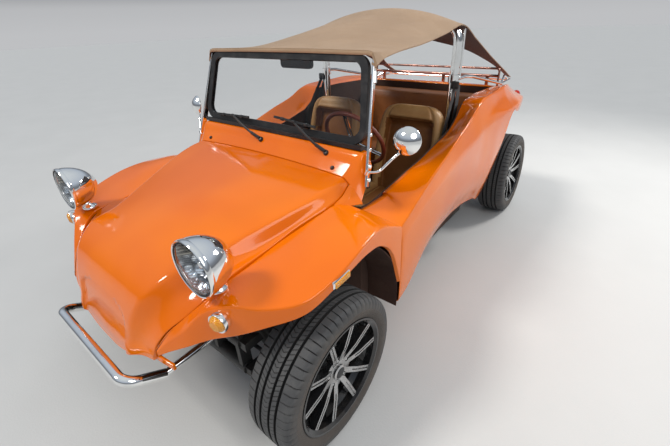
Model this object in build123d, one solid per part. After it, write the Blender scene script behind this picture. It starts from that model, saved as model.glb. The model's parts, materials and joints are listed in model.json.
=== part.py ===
"""Open four-seat dune buggy: a moulded body on a rear-engined floor pan.

Frame: millimetres, +Z up, the vehicle faces -Y and +X is its left side.
The origin is on the ground, halfway between the axles.
"""
from build123d import *
import os
from math import atan2, cos, degrees, hypot, pi, radians, sin, sqrt, tan

# Chassis
wheelbase = 2400.0
front_track = 1412.0
rear_track = 1362.0
rear_camber = 3.0            # degrees, the wheel's top leans in
pan_z = 200.0                # underside of the floor pan
pan_thickness = 6.0
pan_half_width = 575.0
tunnel_half_width = 85.0
tunnel_height = 125.0
half_length = 1766.0         # to the outside of either bumper

# Wheels and tyres
tyre_radius = 318.0
tyre_width = 205.0
tread_half_width = 86.0
tread_flat = 60.0            # half width of the flat part of the tread
tyre_bead_radius = 221.0
rim_lip_radius = 233.0
rim_barrel_radius = 205.0
rim_width = 190.0
rim_face_inset = 12.0        # spoke face behind the outer lip
rim_wall = 8.0
rim_flange = 5.0
spoke_pairs = 5
spoke_spread = 33.0          # degrees between the two spokes of a pair
spoke_turn = 18.0            # where the first pair stands, from level to the rear
spoke_width = 24.0
spoke_groove = 6.0
spoke_reach = 217.0
hub_radius = 78.0
hub_cap_radius = 31.0
bolt_circle_radius = 56.0
bolt_count = 5
bolt_hole_radius = 9.0
drum_radius = 118.0
drum_width = 62.0

# Body
shell = 5.0                  # glass-fibre wall
panel_gap = 5.0              # between the hood and its neighbours
seat_gap = 0.3               # running gap between pieces that rest on each other

# Front suspension and steering
beam_y = -1360.0
beam_tube_radius = 30.0
beam_half_width = 425.0
beam_low_z = 250.0
beam_high_z = 400.0
arm_width = 34.0
arm_height = 42.0
kingpin_x = 585.0
kingpin_radius = 19.0
kingpin_height = 165.0
steering_arm_length = 110.0
steering_arm_inset = 26.0
track_rod_z = 325.0
track_rod_radius = 9.0

# Tubes
bumper_tube = 38.0
roll_bar_tube = 50.0
rack_tube = 16.0
hood_frame_tube = 20.0

front_axle_y = -wheelbase / 2
rear_axle_y = wheelbase / 2
axle_z = tyre_radius
# the leaning rear tyre stands on its tread's edge
rear_axle_z = tyre_radius * cos(radians(rear_camber)) + tread_flat * sin(radians(rear_camber))
front_wheel_x = front_track / 2
rear_wheel_x = rear_track / 2

# The coordinates below are drawn on these axle places and this pan height, and at() moves them
drawn_axle_y = 1200.0
drawn_pan_z = 200.0
split_y = 300.0              # what lies ahead of it follows the front axle


def at(x, y, z):
    """A drawn point, moved with the axle that it belongs to and with the floor pan."""
    shift = front_axle_y + drawn_axle_y if y < split_y else rear_axle_y - drawn_axle_y
    return (x, y + shift, z + pan_z - drawn_pan_z)


def mirrored(shape):
    return shape.mirror(Plane.YZ)


def both(shape):
    return [shape, mirrored(shape)]


def rod(start, end, radius):
    """Round bar between two points."""
    start, end = Vector(*start), Vector(*end)
    return Plane(origin=start, z_dir=end - start) * Cylinder(
        radius, (end - start).length, align=(Align.CENTER, Align.CENTER, Align.MIN))


def bent_tube(points, diameter, bend):
    """Tube along straight runs with equal bends."""
    path = FilletPolyline(*points, radius=bend)
    section = Plane(origin=path @ 0, z_dir=path % 0) * Circle(diameter / 2)
    return sweep(section, path=path)


def slab(low, high):
    """Box between two corners."""
    size = [abs(b - a) for a, b in zip(low, high)]
    middle = [(a + b) / 2 for a, b in zip(low, high)]
    return Pos(*middle) * Box(*size)


def fitted(shape, *others):
    """The shape without what its neighbours take, and without the crumbs that this leaves."""
    for other in others:
        shape = shape - other
    solids = shape.solids()
    return max(solids, key=lambda solid: solid.volume)


def side_plate(outline, x_low, x_high):
    """Prism of a (y, z) outline between two x planes."""
    face = Plane.YZ * make_face(Polyline(*outline, close=True))
    return Pos(x_low, 0, 0) * extrude(face, x_high - x_low)


def inset(points, wall):
    """The (across, up) points moved to their right-hand side by the wall, with mitred corners."""
    moved = []
    last = len(points) - 1
    for i, (a, b) in enumerate(points):
        normals = []
        for p, q in ((i - 1, i), (i, i + 1)):
            if p >= 0 and q <= last:
                da, db = points[q][0] - points[p][0], points[q][1] - points[p][1]
                run = hypot(da, db)
                normals.append((db / run, -da / run))
        na = sum(n[0] for n in normals) / len(normals)
        nb = sum(n[1] for n in normals) / len(normals)
        scale = min(wall / (na * na + nb * nb), 2.5 * wall)
        moved.append((a + na * scale, b + nb * scale))
    return moved


def shell_loft(stations, wall=shell):
    """Thick skin through stations of (origin, across direction, up direction, outer points)."""
    wires = []
    for origin, across, up, points in stations:
        ring = points + inset(points, wall)[::-1]
        wires.append(Wire(Polyline(
            *[Vector(*origin) + Vector(*across) * a + Vector(*up) * b for a, b in ring],
            close=True)))
    return Solid.make_loft(wires, ruled=True)


# Hood: planes that stand upright behind the lamps and fan forward round the nose.
# Columns: plane y, plane z, tilt, centre, ridge x, ridge, flute x, flute, edge x, edge.
# The heights lie in the tilted plane, from its own origin.
hood_table = [
    (-803, 0, 0, 934, 505, 917, 520, 905, 532, 893),
    (-850, 0, 0, 926, 511, 910, 530, 890, 541, 872),
    (-940, 0, 0, 910, 499, 894, 522, 866, 540, 852),
    (-1068, 0, 0, 885, 465, 859, 484, 826, 497, 812),
    (-1240, 0, 0, 852, 402, 817, 438, 775, 468, 768),
    (-1400, 0, 0, 814, 342, 779, 405, 752, 470, 755),
    (-1400, 560, 27, 241, 322, 234, 392, 192, 455, 176),
    (-1400, 560, 50, 250, 280, 247, 350, 208, 424, 173),
    (-1400, 560, 75, 255, 236, 249, 310, 226, 371, 207),
    (-1400, 548, 90, 268, 218, 263, 282, 250, 341, 237),
    (-1400, 495, 90, 283, 212, 274, 276, 258, 336, 242),
    (-1400, 440, 90, 290, 214, 283, 268, 266, 328, 244),
]


def hood():
    stations = []
    for y, z, tilt, centre, ridge_x, ridge, flute_x, flute, edge_x, edge in hood_table:
        half = [(0, centre), (ridge_x * 0.55, centre * 0.75 + ridge * 0.25), (ridge_x, ridge),
                (flute_x, flute), (edge_x, edge)]
        row = [(-a, b) for a, b in half[:0:-1]] + half
        up = (0, -sin(radians(tilt)), cos(radians(tilt)))
        stations.append((at(0, y, z), (1, 0, 0), up, row))
    return shell_loft(stations)


# Front fender, left: each plane is upright and runs from the hood seam to the outer crease.
# Columns: seam x, y, z; crease x, y, z; lower edge z; how far the lower edge stands out.
fender_table = [
    (345, -1630, 562, 358, -1637, 555, 536, 2),
    (378, -1592, 622, 397, -1608, 603, 563, 8),
    (420, -1545, 672, 446, -1576, 648, 590, 12),
    (474, -1446, 742, 530, -1512, 742, 626, 10),
    (474, -1400, 753, 606, -1478, 768, 656, 6),
    (474, -1340, 757, 678, -1424, 757, 684, 4),
    (472, -1250, 766, 762, -1330, 763, 716, 3),
    (474, -1180, 778, 786, -1215, 788, 750, 1),
    (503, -1066, 810, 784, -1110, 806, 764, 0),
    (536, -975, 842, 770, -1000, 812, 754, 0),
    (547, -925, 853, 757, -905, 806, 726, 0),
    (575, -868, 838, 750, -800, 762, 640, 3),
    (602, -815, 798, 744, -707, 712, 420, 8),
]
fender_crown = 10.0          # rise of the top over the straight line from seam to crease


def front_fender():
    stations = []
    for sx, sy, sz, cx, cy, cz, low_z, out in fender_table:
        run = hypot(cx - sx, cy - sy)
        across = ((cx - sx) / run, (cy - sy) / run, 0)
        crown = fender_crown * min(1.0, run / 200.0)
        points = [(panel_gap, sz), (run / 2, (sz + cz) / 2 + crown), (run, cz), (run + out, low_z)]
        ox, oy, oz = at(sx, sy, 0)
        stations.append(((ox, oy, oz), across, (0, 0, 1), points))
    return shell_loft(stations)


# Body side, left: rim of the cockpit, crest, crease, belly and lower edge at each station.
# Columns: y, rim x, rim z, crest x, crest z, crease x, crease z, belly x, belly z, low x, low z.
side_table = [
    (-700, 601, 786, 741, 716, 748, 650, 750, 520, 750, 300),
    (-587, 600, 799, 738, 765, 747, 690, 746, 510, 741, 316),
    (-471, 600, 812, 734, 811, 746, 730, 742, 510, 728, 362),
    (-367, 600, 828, 730, 849, 745, 760, 739, 525, 716, 396),
    (-244, 600, 841, 724, 884, 742, 790, 735, 545, 706, 425),
    (-42, 600, 878, 713, 947, 738, 830, 731, 560, 700, 446),
    (150, 600, 922, 701, 1003, 735, 862, 728, 560, 698, 438),
    (226, 600, 969, 698, 1038, 735, 884, 727, 555, 697, 426),
    (299.7, 600, 1040, 694, 1059, 735, 907, 727, 547, 696, 410),
]
rear_table = [
    (300, 600, 1040, 694, 1059, 735, 907, 727, 547, 696, 410),
    (430, 596, 1052, 690, 1068, 743, 934, 730, 535, 693, 378),
    (560, 590, 1055, 684, 1067, 752, 942, 737, 520, 690, 336),
    (660, 585, 1052, 680, 1068, 757, 938, 742, 620, 712, 470),
    (735, 580, 1049, 676, 1070, 760, 932, 756, 830, 753, 762),
    (775, 578, 1048, 674, 1070, 760, 931, 760, 890, 758, 866),
    (1005, 566, 1034, 641, 1052, 748, 928, 750, 894, 748, 872),
    (1010, 566, 1033, 640, 1051, 748, 928, 750, 894, 748, 872),
    (1129, 556, 1008, 612, 1030, 731, 925, 733, 892, 731, 870),
    (1305, 545, 975, 575, 998, 700, 918, 702, 886, 700, 866),
    (1440, 540, 948, 552, 970, 674, 902, 676, 874, 674, 856),
    (1557, 534, 920, 540, 936, 645, 880, 647, 862, 646, 848),
]
# x where the side's inner lip ends, by y: in the tub's wall, then beside the deck
lip_table = [(-900, 572), (330, 572), (620, 547), (1006, 542), (1009, 560), (1557, 531)]
sill_inner_z = 262.0
front_arch_radius = 500.0


def between(table, y):
    """Value of a short (y, value) table at y."""
    for (y1, v1), (y2, v2) in zip(table, table[1:]):
        if y <= y2:
            return v1 + (v2 - v1) * max(0.0, (y - y1) / (y2 - y1))
    return table[-1][1]


def side_stations(table, with_sill):
    stations = []
    for y, rim_x, rim_z, crest_x, crest_z, crease_x, crease_z, belly_x, belly_z, low_x, low_z in table:
        points = [(between(lip_table, y), rim_z - 10), (rim_x, rim_z), (crest_x, crest_z),
                  (crease_x, crease_z), (belly_x, belly_z), (low_x, low_z)]
        if with_sill:
            points.append((low_x - 28, low_z - 24))
            points.append((lip_table[0][1], sill_inner_z))
        stations.append((at(0, y, 0), (1, 0, 0), (0, 0, 1), points))
    return stations


# The slanted plane where the side meets the front fender: x, y of its inner and outer end,
# then distance along it and z of the points of the side's section
joint_start = (602.0, -814.5)
joint_end = (744.0, -706.5)
joint_section = [(-30, 780), (0, 796), (176, 711), (180, 650), (184, 520), (186, 300), (150, 280), (-30, 262)]


def side_panel():
    run = hypot(joint_end[0] - joint_start[0], joint_end[1] - joint_start[1])
    across = ((joint_end[0] - joint_start[0]) / run, (joint_end[1] - joint_start[1]) / run, 0)
    origin = at(*joint_start, 0)
    first = (origin, across, (0, 0, 1), joint_section)
    panel = shell_loft([first] + side_stations(side_table, True))
    hub = Pos(0, *at(0, -drawn_axle_y, axle_z)[1:]) * Rot(0, 90, 0)
    ring = hub * (Cylinder(front_arch_radius + shell, 2000) - Cylinder(front_arch_radius, 2000))
    inner_x = lip_table[0][1]
    wall = ring & slab(at(inner_x, -960, sill_inner_z), at(744, -640, 414))
    wall += ring & slab(at(inner_x, -960, 410), at(735, -640, 690))
    return fitted(panel - hub * Cylinder(front_arch_radius, 2000) + wall, tub_envelope())


def rear_fender():
    return fitted(shell_loft(side_stations(rear_table, False)), tub_envelope())


# Cowl under the windshield. Columns: y, pillar x, pillar z, shoulder x, z, inner x, z, centre z
cowl_table = [
    (-797, 596, 826, 536, 897, 507, 920, 937),
    (-760, 589, 867, 548, 945, 520, 962, 975),
    (-722, 582, 908, 554, 1000, 535, 1008, 1012),
    (-690, 577, 944, 557, 1004, 537, 1010, 1014),
]
# Cheek ahead of the cowl, between the hood's corner and the fender: y, inner x, z, outer x, z
cheek_table = [
    (-922, 549, 852, 557, 849),
    (-868, 549, 866, 584, 836),
    (-797, 538, 896, 604, 822),
]


def cowl():
    stations = []
    for y, pillar_x, pillar_z, shoulder_x, shoulder_z, inner_x, inner_z, centre in cowl_table:
        half = [(0, centre), (inner_x * 0.55, centre * 0.8 + inner_z * 0.2), (inner_x, inner_z),
                (shoulder_x, shoulder_z), (pillar_x, pillar_z)]
        row = [(-a, b) for a, b in half[:0:-1]] + half
        stations.append((at(0, y, 0), (1, 0, 0), (0, 0, 1), row))
    cheek = shell_loft([
        (at(0, y, 0), (1, 0, 0), (0, 0, 1), [(ax, az), (bx, bz)])
        for y, ax, az, bx, bz in cheek_table])
    fender = front_fender()
    return fitted(shell_loft(stations) + cheek + mirrored(cheek), fender, mirrored(fender))


dash_profile = [(-694, 1006), (-640, 994), (-622, 900), (-632, 815), (-646, 815), (-640, 900),
                (-654, 978), (-694, 988)]
dash_half_width = 530.0
gauges = [(245, 905, 62), (150, 925, 30), (340, 925, 30)]     # x, z, radius


def dashboard():
    outline = [at(0, y, z)[1:] for y, z in dash_profile]
    panel = side_plate(outline, -dash_half_width, dash_half_width)
    for x, z, radius in gauges:
        face = at(x, -634, z)
        panel += Pos(*face) * Rot(90, 0, 0) * Cylinder(radius, 34)
    return fitted(panel, cowl())


# Inner tub: its half plan from the front bulkhead back, and the height of its top edge
tub_plan = [(0, -840), (440, -840), (570, -765), (570, 330), (545, 620), (540, 1004), (0, 1004)]
tub_top = [(-900, 880), (-800, 790), (-700, 776), (-587, 789), (-471, 802), (-367, 818),
           (-244, 831), (-42, 868), (150, 912), (226, 959), (294, 1028), (430, 1042), (560, 1045),
           (775, 1038), (1040, 1020)]


def half_plan(points):
    """Face of a plan that is given by its left half, from the middle line to the middle line."""
    return make_face(Polyline(*(points + [(-x, y) for x, y in points[::-1] if x > 0]), close=True))


tub_step_y = 830.0           # the tub's floor rises here, over the torsion tube
tub_step_z = 430.0


def tub_outer_plan(extra):
    return inset([at(x, y, 0)[:2] for x, y in tub_plan], shell + extra)


def tub_envelope():
    """What the tub takes out of the pieces that rest against it."""
    return Pos(0, 0, pan_z) * extrude(half_plan(tub_outer_plan(seat_gap)), 1200)


def cockpit_tub():
    floor_top = pan_z + pan_thickness
    inner_face = half_plan([at(x, y, 0)[:2] for x, y in tub_plan])
    walls = Pos(0, 0, floor_top) * extrude(half_plan(tub_outer_plan(0)) - inner_face, 900)
    sky = [at(0, y, z)[1:] for y, z in tub_top]
    sky += [(sky[-1][0], 2000), (sky[0][0], 2000)]
    walls -= side_plate(sky, -900, 900)
    walls -= slab(at(-900, tub_step_y, 0), at(900, 1100, tub_step_z))
    low, high = at(-543, tub_step_y, drawn_pan_z + pan_thickness), at(543, tub_step_y + shell, tub_step_z)
    walls += slab(low, high)
    walls += slab(at(-543, tub_step_y, tub_step_z), at(543, 1008, tub_step_z + shell))
    tunnel = slab(at(-tunnel_half_width - seat_gap, -860, 0),
                  at(tunnel_half_width + seat_gap, 860, drawn_pan_z + tunnel_height + seat_gap))
    return walls - tunnel - steering_shaft(seat_gap)


# Rear deck. Columns: plane y, plane z, tilt, centre, edge x, edge
deck_table = [
    (1012, 0, 0, 1036, 559.9, 1030),
    (1129, 0, 0, 1012, 553.7, 1006),
    (1305, 0, 0, 980, 544.3, 973),
    (1440, 0, 0, 952, 537.1, 946),
    (1540, 0, 0, 928, 531.7, 922),
    (1540, 850, -45, 74, 530, 68),
    (1540, 850, -90, 66, 520, 60),
    (1540, 780, -90, 58, 505, 52),
]


def rear_deck():
    stations = []
    for y, z, tilt, centre, edge_x, edge in deck_table:
        half = [(0, centre), (edge_x / 2, centre - 1), (edge_x, edge)]
        row = [(-a, b) for a, b in half[:0:-1]] + half
        up = (0, -sin(radians(tilt)), cos(radians(tilt)))
        stations.append((at(0, y, z), (1, 0, 0), up, row))
    return shell_loft(stations)


# Windshield: a trapezoid that leans back. Outer corners of the rubber frame.
screen_top = (507.0, -608.0, 1366.0)
screen_low = (551.0, -698.0, 1027.0)
screen_frame_width = 30.0
screen_frame_depth = 22.0
screen_corner = 62.0
glass_thickness = 6.0
seal_height = 12.5


def screen_plane():
    low, high = Vector(*at(0, *screen_low[1:])), Vector(*at(0, *screen_top[1:]))
    up = (high - low).normalized()
    return Plane(origin=low, x_dir=(1, 0, 0), z_dir=Vector(1, 0, 0).cross(up)), (high - low).length


def screen_outline(inset_by):
    height = screen_plane()[1]
    half_top, half_low = screen_top[0] - inset_by, screen_low[0] - inset_by
    points = [(-half_low, inset_by), (half_low, inset_by), (half_top, height - inset_by),
              (-half_top, height - inset_by)]
    face = make_face(Polyline(*points, close=True))
    return fillet(face.vertices(), max(screen_corner - inset_by * 0.6, 8))


def windshield_frame():
    plane = screen_plane()[0]
    ring = screen_outline(0) - screen_outline(screen_frame_width)
    frame = plane * extrude(ring, screen_frame_depth / 2, both=True)
    groove = plane * extrude(screen_outline(screen_frame_width - 9), glass_thickness / 2, both=True)
    seal = slab(at(-screen_low[0] + 8, -722, 1014.5), at(screen_low[0] - 8, -690, 1014.5 + 18))
    below = plane * (Pos(0, -60) * extrude(Rectangle(1400, 122), 60, both=True))
    return (frame - groove) + (seal & below)


def windshield_glass():
    plane = screen_plane()[0]
    pane = screen_outline(screen_frame_width - 9 + seat_gap)
    return plane * extrude(pane, glass_thickness / 2 - seat_gap, both=True)


# Chrome posts beside the windshield, from the cowl's side to the header
post_low = (594.0, -756.0, 880.0)
post_high = (524.0, -602.0, 1352.0)
post_width = 30.0
post_depth = 11.0


def windshield_posts():
    low, high = Vector(*at(*post_low)), Vector(*at(*post_high))
    plane = Plane(origin=low, z_dir=high - low, x_dir=(1, 0.25, 0))
    post = plane * extrude(RectangleRounded(post_depth, post_width, 4), (high - low).length)
    for part_way in (0.06, 0.17):
        spot = low + (high - low) * part_way
        post += rod(spot, spot + Vector(post_depth / 2 + 7, 0, 0), 8)
    return fitted(post, cowl())


# Roll bar
roll_bar_x = 492.0
roll_bar_y = 332.0
roll_bar_corner_z = 1412.0
roll_bar_crown_z = 1492.0
foot_size = 110.0
foot_thickness = 8.0


def roll_bar():
    base_z = pan_z + pan_thickness + foot_thickness - (pan_z - drawn_pan_z)
    points = [at(x, roll_bar_y, z) for x, z in (
        (-roll_bar_x, base_z), (-roll_bar_x, roll_bar_corner_z + 14),
        (-roll_bar_x * 0.42, roll_bar_crown_z), (roll_bar_x * 0.42, roll_bar_crown_z),
        (roll_bar_x, roll_bar_corner_z + 14), (roll_bar_x, base_z))]
    hoop = bent_tube(points, roll_bar_tube, 85)
    for side in (-1, 1):
        x, y, z = at(side * roll_bar_x, roll_bar_y, base_z - foot_thickness / 2)
        hoop += Pos(x, y, z) * Box(foot_size, foot_size, foot_thickness)
    return hoop


# Soft top. Roof columns: y, half width, edge z, crown. Tail columns: y, inner x, outer x.
roof_table = [
    (-618, 518, 1375, 6),
    (-440, 519, 1366, 28),
    (-137, 511, 1381, 74),
    (120, 506, 1412, 96),
    (332, 512, 1446, 100),
]
tail_table = [
    (332, 0, 512),
    (560, 0, 519),
    (760, 40, 525),
    (900, 320, 530),
    (1060, 440, 535),
    (1240, 495, 542),
    (1430, 515, 550),
]
cloth = 5.0
tail_drop = 0.3646           # fall of the tail's edge for each millimetre back
tail_end_crown = 56.0


def roof_row(low_x, high_x, half_width, edge_z, crown, steps):
    row = []
    for i in range(steps + 1):
        x = low_x + (high_x - low_x) * i / steps
        row.append((x, edge_z + crown * (1 - (x / half_width) ** 2)))
    return row


def soft_top():
    roof = shell_loft([
        (at(0, y, 0), (1, 0, 0), (0, 0, 1), roof_row(-half, half, half, edge_z, crown, 8))
        for y, half, edge_z, crown in roof_table], cloth)
    first_y, last_y = tail_table[0][0], tail_table[-1][0]
    edge_start, crown_start = roof_table[-1][2], roof_table[-1][3]
    stations = []
    for y, inner_x, outer_x in tail_table:
        part_way = (y - first_y) / (last_y - first_y)
        crown = crown_start + (tail_end_crown - crown_start) * part_way
        edge_z = edge_start - (y - first_y) * tail_drop
        stations.append((at(0, y, 0), (1, 0, 0), (0, 0, 1),
                         roof_row(inner_x, outer_x, outer_x, edge_z, crown, 4)))
    half_tail = shell_loft(stations, cloth)
    return roof + half_tail + mirrored(half_tail)


def soft_top_frame():
    clamp = at(roll_bar_x, roll_bar_y, 1163)
    side = FilletPolyline(at(roll_bar_x + 27, roll_bar_y, 1163), at(528, 420, 1166),
                          at(543, 500, 1158), at(558, 1150, 1030), radius=30)
    bar = sweep(Plane(origin=side @ 0, z_dir=side % 0) * Circle(hood_frame_tube / 2), path=side)
    strut = rod(at(558, 1146, 1030.7), at(546, 1412, 1028), hood_frame_tube / 2)
    brace = rod(at(558, 1146, 1030.7), at(530, 1300, 1070), hood_frame_tube / 2 - 2)
    brace += rod(at(530, 1300, 1070), at(546, 1412, 1028), hood_frame_tube / 2 - 2)
    collar = Pos(*clamp) * (Cylinder(roll_bar_tube / 2 + 7, 44)
                            - Cylinder(roll_bar_tube / 2 + seat_gap, 44))
    core = Pos(*clamp) * Cylinder(roll_bar_tube / 2 + seat_gap, 120)
    left = (bar - core) + strut + brace + collar
    bow = rod(at(-546, 1412, 1028), at(546, 1412, 1028), hood_frame_tube / 2 - 2)
    return left + mirrored(left) + bow


# Seats
seat_x = 312.0
seat_half_width = 222.0
cushion_front_y = -350.0
cushion_top_z = 500.0
cushion_low_z = 330.0
seat_back_lean = 11.0
seat_back_height = 590.0
seat_back_depth = 120.0


def front_seat():
    base = slab(at(seat_x - seat_half_width, cushion_front_y, cushion_low_z),
                at(seat_x + seat_half_width, 140, cushion_top_z))
    base = fillet(base.edges().filter_by(Axis.Z).group_by(Axis.Y)[0], 70)
    base = chamfer(base.faces().sort_by(Axis.Z)[-1].edges().group_by(Axis.Y)[0], 34)
    dish = slab(at(seat_x - 145, cushion_front_y + 60, cushion_top_z - 48),
                at(seat_x + 145, 140, cushion_top_z + 1))
    base -= dish
    half_low, half_top = seat_half_width, seat_half_width - 52
    outline = make_face(Polyline((-half_low, 0), (half_low, 0), (half_low, 330),
                                 (half_top, seat_back_height), (-half_top, seat_back_height),
                                 (-half_low, 330), close=True))
    outline = fillet(outline.vertices().sort_by(Axis.Y)[-2:], 80)
    back = extrude(outline, seat_back_depth)
    pocket = make_face(Polyline((-150, 60), (150, 60), (150, 340), (110, seat_back_height - 90),
                                (-110, seat_back_height - 90), (-150, 340), close=True))
    pocket = fillet(pocket.vertices().sort_by(Axis.Y)[-2:], 45)
    back -= extrude(pocket, 52)
    x, y, z = at(seat_x, 62, cushion_low_z + 110)
    # the local z axis points to the rear, so the pocket faces forward
    lean = Plane(origin=(x, y, z), x_dir=(-1, 0, 0),
                 z_dir=(0, cos(radians(seat_back_lean)), -sin(radians(seat_back_lean))))
    seat = base + lean * back
    floor_top = pan_thickness + drawn_pan_z
    for side in (-1, 1):
        seat += slab(at(seat_x + side * 150 - 16, cushion_front_y + 60, floor_top),
                     at(seat_x + side * 150 + 16, 110, cushion_low_z + 2))
    return seat


rear_seat_half_width = 462.0


def rear_seat():
    back = side_plate([at(0, y, z)[1:] for y, z in (
        (868, 562), (950, 562), (1002, 1010), (935, 1010), (905, 975))],
        -rear_seat_half_width, rear_seat_half_width)
    back = fillet(back.faces().sort_by(Axis.Z)[-1].edges().filter_by(Axis.Y), 30)
    cushion = side_plate([at(0, y, z)[1:] for y, z in (
        (520, 450), (820, tub_step_z + shell + seat_gap), (960, tub_step_z + shell + seat_gap),
        (960, 565), (520, 590), (500, 560))], -440, 440)
    for side in (-1, 1):
        cushion += slab(at(side * 100, 560, pan_thickness + drawn_pan_z), at(side * 430, 820, 455))
    return back + cushion


# Steering
steering_wheel_centre = (245.0, -350.0, 925.0)
steering_wheel_radius = 182.0
steering_rim_radius = 14.0
column_rake = 30.0           # the column's angle above the level


def column_axis():
    return Vector(0, cos(radians(column_rake)), sin(radians(column_rake)))


def steering_wheel():
    centre = Vector(*at(*steering_wheel_centre))
    plane = Plane(origin=centre, x_dir=(1, 0, 0), z_dir=column_axis())
    wheel = Torus(steering_wheel_radius, steering_rim_radius)
    wheel += Pos(0, 0, -22) * Cylinder(34, 40)
    for angle in (-90, 30, 150):
        spoke = Box(steering_wheel_radius - 20, 26, 5, align=(Align.MIN, Align.CENTER, Align.CENTER))
        wheel += Rot(0, 0, angle) * Pos(18, 0, 0) * Rot(0, 3, 0) * spoke
    return plane * wheel


column_length = 300.0
steering_box = (245.0, -1284.7, 430.0)     # centre of the box on the upper beam tube


def column_top():
    return Vector(*at(*steering_wheel_centre)) - column_axis() * 42.3


def steering_shaft(extra):
    low, high = Vector(*at(*steering_box)), column_top() - column_axis() * (column_length - 4)
    return rod(low, high, 12 + extra)


def steering_column():
    top = column_top()
    column = rod(top, top - column_axis() * column_length, 24) + steering_shaft(0)
    x, y, z = at(*steering_box)
    column += Pos(x, y, z) * Box(90, 90, 80)
    column += Pos(x, y, z - 60) * Cylinder(14, 44)
    column += slab((x - 13, y - 14, z - 84), (x + 13, y + 60, z - 68))
    return column


# Running gear
carrier_x = 531.0
arm_x = 442.3


damper_high_y = -1347.0


def front_axle_beam():
    beam = rod(at(-beam_half_width, beam_y, beam_low_z), at(beam_half_width, beam_y, beam_low_z),
               beam_tube_radius)
    beam += rod(at(-beam_half_width, beam_y, beam_high_z), at(beam_half_width, beam_y, beam_high_z),
                beam_tube_radius)
    for x in (-beam_half_width + 20, -240, 240, beam_half_width - 20):
        beam += slab(at(x - 12, beam_y - 24, beam_low_z), at(x + 12, beam_y + 24, beam_high_z))
    for side in (-1, 1):
        x = side * (beam_half_width - 20)
        beam += slab(at(x - 14, beam_y - 18, beam_high_z), at(x + 14, beam_y + 18, 590))
        beam += rod(at(x, damper_high_y, 570), at(side * (arm_x - 22.3), damper_high_y, 570), 10)
    return beam


def front_suspension():
    pieces = []
    for height in (beam_low_z, beam_high_z):
        arm = slab(at(arm_x - arm_width / 2, beam_y - arm_height / 2, height - arm_height / 2),
                   at(arm_x + arm_width / 2, -1190, height + arm_height / 2))
        arm += rod(at(arm_x, -1205, height), at(carrier_x, -1205, height), 13)
        pieces.append(arm)
    low_z, high_z = axle_z - kingpin_height / 2, axle_z + kingpin_height / 2
    carrier = slab(at(carrier_x - 7, -1222, low_z - 18), at(carrier_x + 7, -1182, high_z + 18))
    for z in (low_z - seat_gap - 17, high_z + seat_gap):
        carrier += slab(at(carrier_x, -1221, z), at(kingpin_x + 20, -1179, z + 17))
    damper = rod(at(arm_x, -1235, beam_low_z), at(arm_x, damper_high_y, 590), 22)
    unit = pieces[0] + pieces[1] + carrier + damper
    return both(unit)


def knuckle():
    hub = Vector(front_wheel_x, front_axle_y, axle_z)
    pin = Pos(kingpin_x, front_axle_y, axle_z) * Cylinder(kingpin_radius, kingpin_height)
    spindle = rod((kingpin_x, front_axle_y, axle_z), (front_wheel_x - 12, front_axle_y, axle_z), 15)
    plate = rod((front_wheel_x - 82, front_axle_y, axle_z),
                (front_wheel_x - 76, front_axle_y, axle_z), drum_radius - 3)
    end = (kingpin_x - steering_arm_inset, front_axle_y - steering_arm_length)
    arm_low = track_rod_z + track_rod_radius + seat_gap
    arm = Pos(0, 0, arm_low) * extrude(make_face(Polyline(
        (kingpin_x - 13, front_axle_y), (kingpin_x + 13, front_axle_y),
        (end[0] + 11, end[1]), (end[0] - 11, end[1]), close=True)), 16)
    arm += Pos(end[0], end[1], arm_low + 8) * Cylinder(13, 16)
    return pin + spindle + plate + arm


def track_rod():
    end_x = kingpin_x - steering_arm_inset
    y = front_axle_y - steering_arm_length
    bar = rod((-end_x, y, track_rod_z), (end_x, y, track_rod_z), track_rod_radius - 1)
    for side in (-1, 1):
        bar += Pos(side * end_x, y, track_rod_z) * Cylinder(13, 2 * track_rod_radius)
    return bar


torsion_tube_y = 900.0
torsion_tube_z = 300.0
torsion_tube_radius = 52.0
axle_tube_radius = 32.0


def rear_suspension():
    unit = rod(at(-430, torsion_tube_y, torsion_tube_z), at(430, torsion_tube_y, torsion_tube_z),
               torsion_tube_radius)
    tube = rod(at(-600, 1200, rear_axle_z), at(600, 1200, rear_axle_z), axle_tube_radius + seat_gap)
    for side in (-1, 1):
        unit += rod(at(side * 430, torsion_tube_y, torsion_tube_z),
                    at(side * 505, torsion_tube_y, torsion_tube_z), 34)
        plate = side_plate([at(0, y, z)[1:] for y, z in (
            (880, 262), (925, 262), (1160, 255), (1245, 255), (1245, 381), (1160, 381),
            (925, 338), (880, 338))], side * 498 - 5, side * 498 + 5)
        unit += plate - tube
        unit += rod(at(side * 470, 1292, 290), at(side * 450, 1100, 600), 24)
        unit += slab(at(side * 455, 1235, 278), at(side * 498, 1300, 300))
        unit += slab(at(side * 415, 1015, 285), at(side * 425, 1110, 625))
        unit += slab(at(side * 415, 1075, 596), at(side * 450, 1110, 625))
        unit += slab(at(side * 385, 1080, 530), at(side * 425, 1110, 590))
        unit += slab(at(side * 415, 930, 280), at(side * 425, 1110, 320))
        unit += slab(at(side * 95.3, 945, 270), at(side * 138, 1100, 320))
        unit += slab(at(side * 200, 840, drawn_pan_z + pan_thickness), at(side * 240, 880, 275))
    return unit


def transaxle():
    case = side_plate([at(0, y, z)[1:] for y, z in (
        (962, 240), (1291.7, 210), (1291.7, 415), (1130, 405), (962, 380))], -95, 95)
    case += rod(at(-150, 1200, rear_axle_z), at(150, 1200, rear_axle_z), 86)
    for side in (-1, 1):
        case += rod(at(side * 140, 1200, rear_axle_z),
                    at(side * (rear_wheel_x - 105), 1200, rear_axle_z), axle_tube_radius)
        case += place_wheel(rod((-115, 0, 0), (-12, 0, 0), 15), side, False)
    return case


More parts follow.
